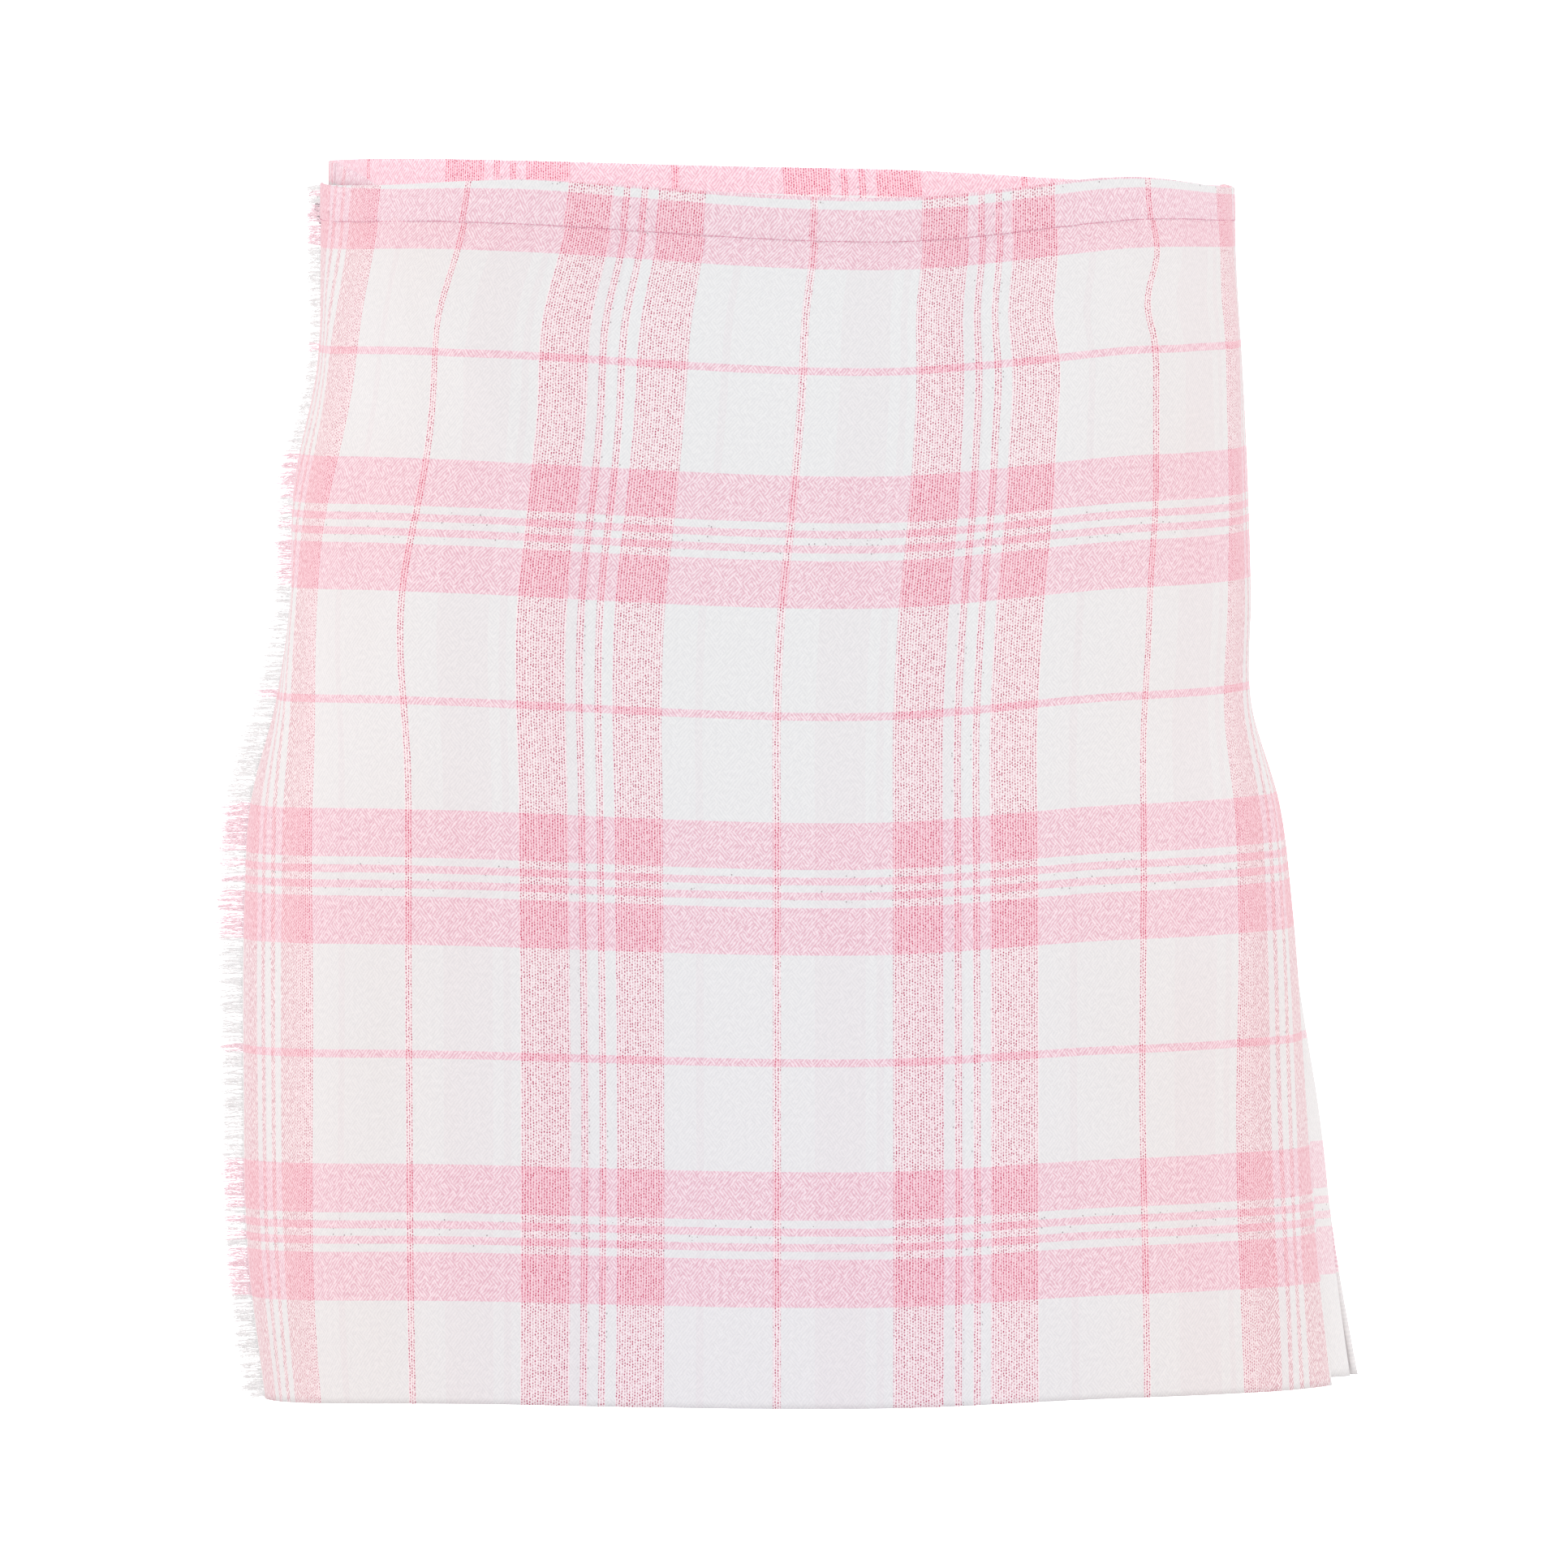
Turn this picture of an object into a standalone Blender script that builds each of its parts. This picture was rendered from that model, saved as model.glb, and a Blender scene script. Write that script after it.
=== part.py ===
"""A short wrap kilt in pink and white tartan, worn shape with no wearer.

The cloth is one long strip.  It starts at a fringed edge on the wearer's right (-X), crosses the
front as the outer apron, turns under at a fold on the left (+X), runs round the back in knife
pleats and comes inside again as the under apron.  Separate strips of the same cloth make the
waistband.  Two buckled straps behind the fringe hold the wrap closed on the right hip.

Metres, +Z up, the wearer's front faces -Y.  The origin is the middle of the waist ring, at half
the waistband's height, which is where a body holds the kilt up.
"""
import math

import bmesh
import bpy
import numpy as np
from mathutils import Vector

MM = 0.001

# Sizes of the cloth
CLOTH = 1.0 * MM                # wall of one layer of cloth
LAYER = 1.35 * MM               # from one layer's middle to the next, at the waist
LAYER_HEM = 1.8 * MM            # the same at the hem, where the layers hang looser
SEAM = 0.3 * MM                 # parting between two pieces that are sewn together

# Sizes of the waistband
BAND_WALL = 1.4 * MM            # two thicknesses of cloth pressed together
BAND_HEIGHT = 15.0 * MM
BAND_TOP = BAND_HEIGHT / 2
BAND_FOOT = -BAND_HEIGHT / 2
LENGTH = 462.0 * MM             # top of the waistband to the hem
HEM = BAND_TOP - LENGTH

# Depths of the layers' middles below the kilt's outer surface
OUTER_DEPTH = BAND_WALL / 2
INNER_DEPTH = OUTER_DEPTH + BAND_WALL + 1.0 * MM
HIP_DEPTH = 4.0 * MM            # under the fringed edge, where the strap's tab lies between layers

# Places along the cloth, measured from the stripe at the middle of the front
APRON_FRINGE = -252.5 * MM      # where the warp threads stop and the fringe starts
APRON_FOLD = 249.5 * MM         # the fold on the wearer's left
TURN_UNDER = 45.0 * MM          # cloth turned back inside that fold
UNDER_END = 198.0 * MM          # plain edge of the under apron
SIDE_SEAM = 16.0 * MM           # the back meets the under apron this far in from the fringe

# The outer surface at each height: half widths, depths in front of and behind the middle, how far
# the middle stripe lies to the wearer's left, and how much the cloth is eased in along the ring
SECTION_COLUMNS = ("height", "half_right_hip", "half_left_hip", "front", "back", "drift", "ease")
SECTIONS = (
    (0.0080, 0.1745, 0.1750, 0.1040, 0.1110, 0.0155, 0.930),
    (-0.0190, 0.1745, 0.1758, 0.1045, 0.1130, 0.0143, 0.945),
    (-0.0620, 0.1755, 0.1785, 0.1090, 0.1170, 0.0102, 0.985),
    (-0.1100, 0.1845, 0.1805, 0.1110, 0.1210, 0.0060, 1.005),
    (-0.1500, 0.1860, 0.1815, 0.1120, 0.1250, 0.0018, 1.010),
    (-0.1900, 0.1915, 0.1815, 0.1130, 0.1290, 0.0000, 1.005),
    (-0.2300, 0.2015, 0.1925, 0.1150, 0.1320, 0.0000, 1.000),
    (-0.2700, 0.2040, 0.1975, 0.1170, 0.1350, 0.0000, 1.000),
    (-0.3300, 0.2045, 0.2025, 0.1190, 0.1380, 0.0000, 1.000),
    (-0.4000, 0.2030, 0.2090, 0.1230, 0.1410, 0.0000, 1.000),
    (-0.4600, 0.1955, 0.2185, 0.1280, 0.1430, 0.0000, 1.000),
)

# The largest creases of the front: middle along the cloth, height, tilt in degrees from upright,
# half width and half length of the fold, and how far it stands out of the surface
CREASE_COLUMNS = ("along", "height", "tilt", "half_width", "half_length", "stand")
CREASES = (
    (-0.105, -0.075, 34.0, 0.016, 0.060, 0.0026),
    (0.110, -0.050, -18.0, 0.013, 0.034, 0.0024),
    (0.068, -0.055, 8.0, 0.012, 0.040, -0.0020),
    (0.165, -0.062, 6.0, 0.014, 0.050, 0.0022),
    (-0.185, -0.300, 3.0, 0.022, 0.120, 0.0024),
    (0.060, -0.380, -4.0, 0.026, 0.100, 0.0022),
    (-0.050, -0.400, 5.0, 0.024, 0.090, -0.0018),
    (0.190, -0.330, -6.0, 0.020, 0.110, -0.0020),
)

# The wrap climbs as it goes round: rise of the back's top edge and hem, by share of the way from
# the left hip round to the right hip
RISE_COLUMNS = ("share", "top", "hem")
BACK_RISE = (
    (0.00, 0.0000, 0.0046),
    (0.12, -0.0020, 0.0052),
    (0.50, 0.0000, 0.0060),
    (0.85, 0.0060, 0.0072),
    (1.00, 0.0090, 0.0080),
)
UNDER_DIP = -2.0 * MM           # rise of the under apron's top once it is behind the outer apron
UNDER_DIP_LENGTH = 60.0 * MM    # stretch over which it comes down from the right hip
FRINGE_SAG = 4.0 * MM           # the outer apron's free edge hangs this much lower at the hem
FRINGE_SAG_WIDTH = 160.0 * MM   # stretch of the hem over which it comes up level

# Pleats of the back
PLEATS = 18
PLEAT_STEPS = 2                 # points along one pleat's face
PLEAT_HIDDEN = 1                # of those steps again, under the next pleat
PLEAT_FAN = 0.10                # uneven spacing at the hem, as a share of a pleat
PLEAT_FAN_TURN = 2.4            # radians from one pleat to the next in that unevenness
SWELL_HEM = 5.0 * MM            # the pleats stand this far out at the hem
SWELL_START = -0.16             # height where they begin to
TUCK_SLACK = 1.2 * MM           # extra room under the turned cloth, which hangs at another height
TUCK_LEFT_HIP = (2.0 * MM, 24.0 * MM)      # beyond the fold, the pleats come out from under it
TUCK_RIGHT_HIP = (34.0 * MM, 62.0 * MM)    # before the fringe, they go in under it

# Fringe
FRINGE_STRIP = 1.6 * MM         # width of the backing strip beside the apron's edge
FRINGE_STRANDS = 200
FRINGE_LENGTH = 9.5 * MM
FRINGE_SPLAY = 8.0 * MM         # the loose ends stand out from the cloth
FRINGE_LENGTH_SHARES = (0.82, 1.06)         # shortest and longest strand
FRINGE_SPLAY_SHARES = (0.70, 1.15)          # flattest and most lifted one
FRINGE_SLANT = (-1.2 * MM, 0.6 * MM)        # how far a loose end hangs down or stands up
FRINGE_TIP = 0.5 * MM           # width of a strand at its loose end
FRINGE_TOP = BAND_TOP - 0.5 * MM

# Heights down a panel, as shares of its length from the top
LEVELS = (0.0, 0.07, 0.15, 0.235, 0.325, 0.42, 0.53, 0.66, 0.83, 1.0)

# Points across a panel
APRON_STEPS = 34
TURN_STEPS = 4
UNDER_STEPS = 30
EVEN_SHARE = 0.45               # share of the even spacing, the rest draws together at the hips
SHARP = math.radians(50)        # edges that turn more than this are shaded as sharp

# Buckled straps on the right hip
STRAP_HEIGHTS = {"waist": -0.0040, "hip": -0.1520}
STRAP_WIDTH = 13.0 * MM
LEATHER = 1.6 * MM
WIRE = 1.0 * MM                 # radius of the buckle's wire
HEEL_BEHIND_FRINGE = 35.0 * MM  # the buckle's inner bar, measured back from the fringe's root
BUCKLE_REACH = 15.0 * MM        # inner bar to outer bar
BUCKLE_CORNER = 2.5 * MM        # radius that the wire is bent to
BUCKLE_CORNER_STEPS = 3
CLEAR = 0.60 * MM               # between a strap and what it lies on
BUCKLE_HALF_HEIGHT = STRAP_WIDTH / 2 + WIRE + CLEAR
STRAP_SEWN_END = 64.0 * MM      # the strap's sewn end, behind the inner bar
STRAP_LIFTS = 9.0 * MM          # where it begins to climb over the inner bar, behind it
STRAP_LIFT = 0.8 * MM           # how far it has climbed there
STRAP_OVER = (-3.5 * MM, 4.0 * MM)          # stretch that lies flat over the bar
STRAP_TIP = 9.0 * MM            # the strap's free end, in front of the inner bar
STRAP_DEPTH = OUTER_DEPTH - CLOTH / 2 - CLEAR - LEATHER / 2     # middle of the strap on the pleats
NOSE_DEPTH = STRAP_DEPTH - LEATHER / 2 - CLEAR - WIRE           # the buckle's outer bar, over the strap
HEEL_DEPTH = -1.9 * MM                                          # its inner bar, in the tab's loop
TAB_LEATHER = 1.0 * MM          # the tab is thinned where it lies between the layers
TAB_DEPTH = 2.35 * MM           # and this deep under the outer surface
TAB_SEWN_END = 47.0 * MM        # its sewn end, in front of the inner bar
TAB_CLIMBS = (20.0 * MM, 9.0 * MM)          # where it comes up out of the layers to the bar
TAB_RETURN = 5.0 * MM           # its stitched end, on the outside of the loop
TAB_LOOP_STEPS = 6

# Finishes: colour, roughness, metallic
FINISHES = {
    "tartan": ((0.86, 0.60, 0.67), 0.90, 0.0),
    "tartan_band": ((0.85, 0.52, 0.61), 0.90, 0.0),
    "fringe": ((0.90, 0.68, 0.72), 0.95, 0.0),
    "leather": ((0.022, 0.024, 0.040), 0.48, 0.0),
    "steel": ((0.62, 0.62, 0.64), 0.28, 1.0),
}


def smooth_table(rows, columns, name, key):
    """One column of a table as a smooth curve through its rows, read at key."""
    keys = np.array([row[0] for row in rows])
    values = np.array([row[columns.index(name)] for row in rows])
    if keys[0] > keys[-1]:
        keys, values = keys[::-1], values[::-1]
    slopes = np.gradient(values, keys)
    key = min(max(key, keys[0]), keys[-1])
    i = min(int(np.searchsorted(keys, key, side="right")) - 1, len(keys) - 2)
    i = max(i, 0)
    step = keys[i + 1] - keys[i]
    t = (key - keys[i]) / step
    return float((2 * t ** 3 - 3 * t ** 2 + 1) * values[i] + (t ** 3 - 2 * t ** 2 + t) * step * slopes[i]
                 + (3 * t ** 2 - 2 * t ** 3) * values[i + 1] + (t ** 3 - t ** 2) * step * slopes[i + 1])


def ease_in_out(t):
    """0 to 1 with level ends."""
    t = min(max(t, 0.0), 1.0)
    return t * t * (3 - 2 * t)


class Ring:
    """The kilt's outer surface at one height, measured along the cloth from the front's middle."""

    STEPS = 360
    REACH = 0.8 * MM            # the direction at a point is taken over this far to both sides

    def __init__(self, z):
        size = {name: smooth_table(SECTIONS, SECTION_COLUMNS, name, z) for name in SECTION_COLUMNS[1:]}
        self.drift, self.ease = size["drift"], size["ease"]
        angles = np.linspace(-math.pi, math.pi, self.STEPS + 1)
        self.x = np.where(angles > 0, size["half_left_hip"], size["half_right_hip"]) * np.sin(angles)
        self.y = -np.where(np.abs(angles) < math.pi / 2, size["front"], size["back"]) * np.cos(angles)
        along = np.concatenate([[0.0], np.cumsum(np.hypot(np.diff(self.x), np.diff(self.y)))])
        self.along = along - along[self.STEPS // 2]
        self.girth = along[-1]

    def place(self, cloth):
        """Distance along the ring of a place on the outer apron's cloth."""
        return self.drift + self.ease * cloth

    def fold(self):
        return self.place(APRON_FOLD)

    def fringe(self):
        """The fringe's root, reached by going round the back from the fold."""
        return self.place(APRON_FRINGE) + self.girth

    def point(self, along, depth):
        """A point this far along the ring and this deep under the outer surface."""
        low = self.along[0]
        along = low + (along - low) % self.girth
        x, y = (float(np.interp(along, self.along, axis)) for axis in (self.x, self.y))
        before, after = (low + (along + side - low) % self.girth for side in (-self.REACH, self.REACH))
        dx, dy = (float(np.interp(after, self.along, axis) - np.interp(before, self.along, axis))
                  for axis in (self.x, self.y))
        scale = depth / math.hypot(dx, dy)
        return x - dy * scale, y + dx * scale


RINGS = {}


def ring(z):
    key = round(z, 5)
    if key not in RINGS:
        RINGS[key] = Ring(key)
    return RINGS[key]


def crease_stand(along, z):
    """How far the front's creases lift the surface at this place."""
    stand = 0.0
    for row in CREASES:
        crease = dict(zip(CREASE_COLUMNS, row))
        across, down = along - crease["along"], z - crease["height"]
        turn = math.radians(crease["tilt"])
        u = (across * math.cos(turn) + down * math.sin(turn)) / crease["half_width"]
        v = (down * math.cos(turn) - across * math.sin(turn)) / crease["half_length"]
        stand += crease["stand"] * math.exp(-u * u - v * v)
    return stand


def surface(along, z, depth, measured=None):
    """A point of the kilt: along the ring, at this height, this deep under the outer surface.

    Where along was measured on the ring of another height, it keeps its share of the way round."""
    r = ring(z)
    along *= r.girth / (measured or r).girth
    home = (along + r.girth / 2) % r.girth - r.girth / 2
    return Vector((*r.point(along, depth - crease_stand(home, z)), z))


def wall(name, rings, paths, heights, thickness, finish):
    """A wall of cloth or leather through paths of (along, depth), one path and ring for each level.

    Each path's points are moved to both sides in the plane of along and depth, with mitred
    corners, and the two sides are closed at the top, the bottom and both ends."""
    mesh = bmesh.new()
    sides = ([], [])
    for level, path in enumerate(paths):
        points = [Vector(p) for p in path]
        runs = [(b - a).normalized() for a, b in zip(points, points[1:])]
        for side, sign in zip(sides, (-1.0, 1.0)):
            row = []
            for i, point in enumerate(points):
                before = runs[max(i - 1, 0)]
                after = runs[min(i, len(runs) - 1)]
                normal_a, normal_b = (Vector((-run.y, run.x)) for run in (before, after))
                miter = (normal_a + normal_b) / (1.0 + normal_a.dot(normal_b))
                moved = point + miter * (sign * thickness / 2)
                row.append(mesh.verts.new(surface(moved.x, heights(level, point.x), moved.y, rings[level])))
            side.append(row)
    outer, inner = sides
    last = len(paths) - 1
    for level in range(last):
        for i in range(len(paths[0]) - 1):
            for side, flip in ((outer, False), (inner, True)):
                corners = [side[level][i], side[level + 1][i], side[level + 1][i + 1], side[level][i + 1]]
                mesh.faces.new(corners[::-1] if flip else corners)
        for i, flip in ((0, True), (len(paths[0]) - 1, False)):
            corners = [outer[level][i], outer[level + 1][i], inner[level + 1][i], inner[level][i]]
            mesh.faces.new(corners[::-1] if flip else corners)
    for i in range(len(paths[0]) - 1):
        for level, flip in ((0, False), (last, True)):
            corners = [outer[level][i], outer[level][i + 1], inner[level][i + 1], inner[level][i]]
            mesh.faces.new(corners[::-1] if flip else corners)
    return add_object(name, mesh, finish)


def add_object(name, mesh, finish):
    bmesh.ops.recalc_face_normals(mesh, faces=mesh.faces)
    data = bpy.data.meshes.new(name)
    mesh.to_mesh(data)
    mesh.free()
    data.shade_smooth()
    data.set_sharp_from_angle(angle=SHARP)
    obj = bpy.data.objects.new(name, data)
    bpy.context.scene.collection.objects.link(obj)
    data.materials.append(material(name, finish))
    return obj


def material(name, finish):
    colour, roughness, metallic = FINISHES[finish]
    made = bpy.data.materials.new(name)
    made.use_nodes = True
    shader = made.node_tree.nodes["Principled BSDF"]
    shader.inputs["Base Color"].default_value = (*colour, 1.0)
    shader.inputs["Roughness"].default_value = roughness
    shader.inputs["Metallic"].default_value = metallic
    made.diffuse_color = (*colour, 1.0)
    return made


def spread(start, end, steps):
    return [start + (end - start) * i / steps for i in range(steps + 1)]


def spread_to_sides(start, end, steps):
    """Like spread, with shorter steps at both ends, where the hips turn sharply."""
    middle, half = (start + end) / 2, (end - start) / 2
    return [middle + half * (EVEN_SHARE * t + (1 - EVEN_SHARE) * math.sin(t * math.pi / 2))
            for t in spread(-1.0, 1.0, steps)]


def sag(r, along):
    """The free fringed edge hangs lower at the hem, the rest stays level."""
    from_edge = along - (r.fringe() - r.girth)
    return FRINGE_SAG * (1 - ease_in_out(from_edge / FRINGE_SAG_WIDTH))


def apron_rows():
    """Nominal height and share of the way down for each level of the outer apron."""
    top = BAND_FOOT - SEAM
    return [(top + (HEM - top) * share, share) for share in LEVELS]


def apron_height(z, share, along):
    return z - share ** 2 * sag(ring(z), along)


def outer_apron():
    """Front panel from the fringe's root to the fold, with the cloth turned under at the fold."""
    rows = apron_rows()
    paths = []
    for z, _ in rows:
        r = ring(z)
        front = [(r.place(u), OUTER_DEPTH) for u in spread_to_sides(APRON_FRINGE, APRON_FOLD, APRON_STEPS)]
        turned = [(r.fold() - from_fold, OUTER_DEPTH + layer_pitch(z))
                  for from_fold in spread(0.0, TURN_UNDER, TURN_STEPS)]
        paths.append(front + turned)

    def height(level, along):
        return apron_height(*rows[level], along)

    return wall("outer_apron", [ring(z) for z, _ in rows], paths, height, CLOTH, "tartan")


def layer_pitch(z):
    """From one layer's middle to the next."""
    return LAYER + (LAYER_HEM - LAYER) * ease_in_out((SWELL_START - z) / (SWELL_START - HEM))


def back_base(r, z, along):
    """Depth of the pleats' outermost layer: tucked in at both hips, standing out between them."""
    free = OUTER_DEPTH - SWELL_HEM * ease_in_out((SWELL_START - z) / (SWELL_START - HEM))
    left = ease_in_out((along - r.fold() - TUCK_LEFT_HIP[0]) / (TUCK_LEFT_HIP[1] - TUCK_LEFT_HIP[0]))
    right = ease_in_out((r.fringe() - along - TUCK_RIGHT_HIP[0])
                        / (TUCK_RIGHT_HIP[1] - TUCK_RIGHT_HIP[0]))
    tucked_left = OUTER_DEPTH + 2 * layer_pitch(z) + TUCK_SLACK
    depth = free + (tucked_left - free) * (1 - left)
    return depth + (HIP_DEPTH - depth) * (1 - right)


def back_rise(r, along, name):
    """Rise of the back's top edge or hem, this far along the ring."""
    share = (along - r.fold()) / (r.fringe() - r.fold())
    return smooth_table(BACK_RISE, RISE_COLUMNS, name, share)


def pleated_back():
    """Knife pleats from under the fold, round the back, to the seam under the fringed edge.

    Every pleat's face slopes in by two layers over its own width, so that the next pleat's face,
    its return and its hidden part lie on each other like shingles and never cross."""
    nominal = [BAND_FOOT - SEAM + (HEM - BAND_FOOT) * share for share in LEVELS]

    def height(level, along):
        r = ring(nominal[level])
        share = LEVELS[level]
        rise = back_rise(r, along, "top") * (1 - share) + back_rise(r, along, "hem") * share
        return nominal[level] + rise

    paths = []
    for level, z in enumerate(nominal):
        r, layer = ring(z), layer_pitch(z)
        first, end = r.fold(), r.fringe() + SIDE_SEAM
        loose = LEVELS[level] ** 2 * PLEAT_FAN
        pitch = (end - first) / PLEATS
        starts = [first + pitch * (i + loose * math.sin(PLEAT_FAN_TURN * i)) for i in range(PLEATS)] + [end]

        def depth(i, along):
            return back_base(r, z, along) + 2 * layer * (along - starts[i]) / pitch

        turned = spread(first - TURN_UNDER, first, TURN_STEPS)[:-1]
        path = [(along, back_base(r, z, first)) for along in turned]
        for i in range(PLEATS):
            face = spread(starts[i], starts[i + 1], PLEAT_STEPS)
            path += [(along, depth(i, along)) for along in face]
            if i < PLEATS - 1:
                under_next = spread(starts[i + 1], starts[i + 2], PLEAT_STEPS)[:PLEAT_HIDDEN + 1]
                path += [(along, depth(i, along)) for along in under_next[1:]]
                path += [(along, depth(i + 1, along) + layer) for along in reversed(under_next)]
        paths.append(path)
    return wall("pleated_back", [ring(z) for z in nominal], paths, height, CLOTH, "tartan")


def last_pleat_depth(z):
    """Depth at which the last pleat meets the under apron."""
    return HIP_DEPTH + 2 * layer_pitch(z)


def under_rise(from_seam):
    """Rise of the under apron's top edge, this far from its seam with the back."""
    at_seam = BACK_RISE[-1][1]
    return at_seam + (UNDER_DIP - at_seam) * ease_in_out(from_seam / UNDER_DIP_LENGTH)


def under_depth(z, from_seam):
    start = last_pleat_depth(z)
    return start + (INNER_DEPTH - start) * ease_in_out(from_seam / UNDER_DIP_LENGTH)


def under_start(r):
    """The under apron's seam with the back, which lies under the outer apron's fringed edge."""
    return r.fringe() - r.girth + SIDE_SEAM + SEAM


def under_apron():
    """The inner front panel, from the last pleat to its plain edge near the left hip."""
    nominal = [BAND_FOOT - SEAM + (HEM - BAND_FOOT) * share for share in LEVELS]
    hem_rise = BACK_RISE[-1][2]

    def height(level, along):
        share = LEVELS[level]
        return nominal[level] + under_rise(along - under_start(ring(nominal[level]))) * (1 - share) \
            + hem_rise * share

    paths = []
    for z in nominal:
        r = ring(z)
        start = under_start(r)
        paths.append([(along, under_depth(z, along - start))
                      for along in spread_to_sides(start, r.place(UNDER_END), UNDER_STEPS)])
    return wall("under_apron", [ring(z) for z in nominal], paths, height, CLOTH, "tartan")


def waistbands():
    """Three strips end to end: outside the front, round the back, and inside the front."""
    ends = (BAND_TOP, BAND_FOOT)
    rings = [ring(z) for z in ends]

    front = [[(r.place(u), OUTER_DEPTH) for u in spread_to_sides(APRON_FRINGE, APRON_FOLD, APRON_STEPS)]
             for r in rings]
    wall("waistband_front", rings, front, lambda level, along: ends[level], BAND_WALL, "tartan_band")

    def back_depth(r, along):
        if along < r.fold() + TUCK_LEFT_HIP[1]:
            return OUTER_DEPTH
        return min(back_base(r, BAND_FOOT, along), HIP_DEPTH)

    def back_height(level, along):
        return ends[level] + back_rise(rings[level], along, "top")

    back = [[(along, back_depth(r, along))
             for along in spread(r.fold() + SEAM, r.fringe() + SIDE_SEAM, APRON_STEPS)] for r in rings]
    wall("waistband_back", rings, back, back_height, BAND_WALL, "tartan_band")

    def inner_depth(from_seam):
        return HIP_DEPTH + (INNER_DEPTH - HIP_DEPTH) * ease_in_out(from_seam / UNDER_DIP_LENGTH)

    def inner_height(level, along):
        return ends[level] + under_rise(along - under_start(rings[level]))

    under = [[(along, inner_depth(along - under_start(r)))
              for along in spread_to_sides(under_start(r), r.place(UNDER_END), UNDER_STEPS)] for r in rings]
    wall("waistband_under", rings, under, inner_height, BAND_WALL, "tartan_band")


def between(rows, z):
    """The value at height z on straight lines between rows of (height, value)."""
    for (above, first), (below, second) in zip(rows, rows[1:]):
        if z >= below:
            return first + (second - first) * (above - z) / (above - below)
    return rows[-1][1]


def apron_fringe():
    """Weft threads left free where the warp is drawn out: a narrow strip with tapering strands."""
    rng = np.random.default_rng(7)
    mesh = bmesh.new()
    # The apron's edge runs straight between its levels, and the strip keeps to it
    edge = [(z, ring(z)) for z in (FRINGE_TOP, BAND_FOOT)]
    edge += [(apron_height(z, share, ring(z).place(APRON_FRINGE)), ring(z)) for z, share in apron_rows()]
    columns = []
    for away, side in ((0.0, -0.5), (0.0, 0.5), (FRINGE_STRIP, 0.5), (FRINGE_STRIP, -0.5)):
        columns.append([(z, surface(r.place(APRON_FRINGE) - SEAM - away, z, OUTER_DEPTH + side * CLOTH, r))
                        for z, r in edge])
    foot = edge[-1][0]
    step = (FRINGE_TOP - foot) / FRINGE_STRANDS
    strip = [[mesh.verts.new(between(column, FRINGE_TOP - step * i)) for column in columns]
             for i in range(FRINGE_STRANDS + 1)]
    mesh.faces.new(strip[0])
    mesh.faces.new(strip[-1][::-1])
    for i in range(FRINGE_STRANDS):
        upper, lower = strip[i], strip[i + 1]
        for a, b in ((0, 1), (1, 2), (3, 0)):
            mesh.faces.new([upper[b], upper[a], lower[a], lower[b]])
        base = [upper[2], upper[3], lower[3], lower[2]]
        root = sum((vert.co for vert in base), Vector()) / 4
        outward = (upper[3].co - upper[2].co).normalized()
        away = ((upper[2].co + upper[3].co) - (upper[0].co + upper[1].co)).normalized()
        length = FRINGE_LENGTH * rng.uniform(*FRINGE_LENGTH_SHARES)
        slant = rng.uniform(*FRINGE_SLANT)
        splay = FRINGE_SPLAY * rng.uniform(*FRINGE_SPLAY_SHARES)
        tip = root + away * length + outward * splay
        tip.z = min(max(tip.z + slant, foot + step / 2), FRINGE_TOP - step / 2)
        end = [mesh.verts.new(tip - outward * (side * FRINGE_TIP / 2) + Vector((0, 0, up * FRINGE_TIP / 2)))
               for side, up in ((1, 1), (-1, 1), (-1, -1), (1, -1))]
        for k in range(4):
            mesh.faces.new([base[k], base[(k + 1) % 4], end[(k + 1) % 4], end[k]])
        mesh.faces.new(end)
    return add_object("apron_fringe", mesh, "fringe")


def finely(path, run=4.0 * MM):
    """The same path with points at most one run apart, so that it bends with the ring."""
    fine = [path[0]]
    for (a, depth_a), (b, depth_b) in zip(path, path[1:]):
        steps = max(1, math.ceil(abs(b - a) / run))
        fine += [(a + (b - a) * i / steps, depth_a + (depth_b - depth_a) * i / steps)
                 for i in range(1, steps + 1)]
    return fine


def strap_sets():
    """At the waist and the hip: a tab round the buckle's inner bar, a buckle, and the strap."""
    for name, z in STRAP_HEIGHTS.items():
        bar = ring(z).fringe() - HEEL_BEHIND_FRINGE
        leather(name + "_tab", z, tab_path(bar), TAB_LEATHER)
        leather(name + "_strap", z, strap_path(bar), LEATHER)
        buckle(name, z, bar)


def tab_path(bar):
    """Out from between the layers, up to the inner bar and round it."""
    turn = WIRE + CLEAR + TAB_LEATHER / 2
    loop = [(bar - turn * math.cos(a), HEEL_DEPTH - turn * math.sin(a))
            for a in spread(-math.pi / 2, math.pi / 2, TAB_LOOP_STEPS)]
    return [(bar + TAB_SEWN_END, TAB_DEPTH), (bar + TAB_CLIMBS[0], TAB_DEPTH),
            (bar + TAB_CLIMBS[1], HEEL_DEPTH + turn), *loop, (bar + TAB_RETURN, HEEL_DEPTH - turn)]


def strap_path(bar):
    """From its sewn end on the pleats, under the outer bar and over the tab on the inner one."""
    over = HEEL_DEPTH - WIRE - TAB_LEATHER - 2 * CLEAR - LEATHER / 2
    return [(bar - STRAP_SEWN_END, STRAP_DEPTH), (bar - BUCKLE_REACH, STRAP_DEPTH),
            (bar - STRAP_LIFTS, STRAP_DEPTH - STRAP_LIFT), (bar + STRAP_OVER[0], over), (bar, over),
            (bar + STRAP_OVER[1], over), (bar + STRAP_TIP, over)]


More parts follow.
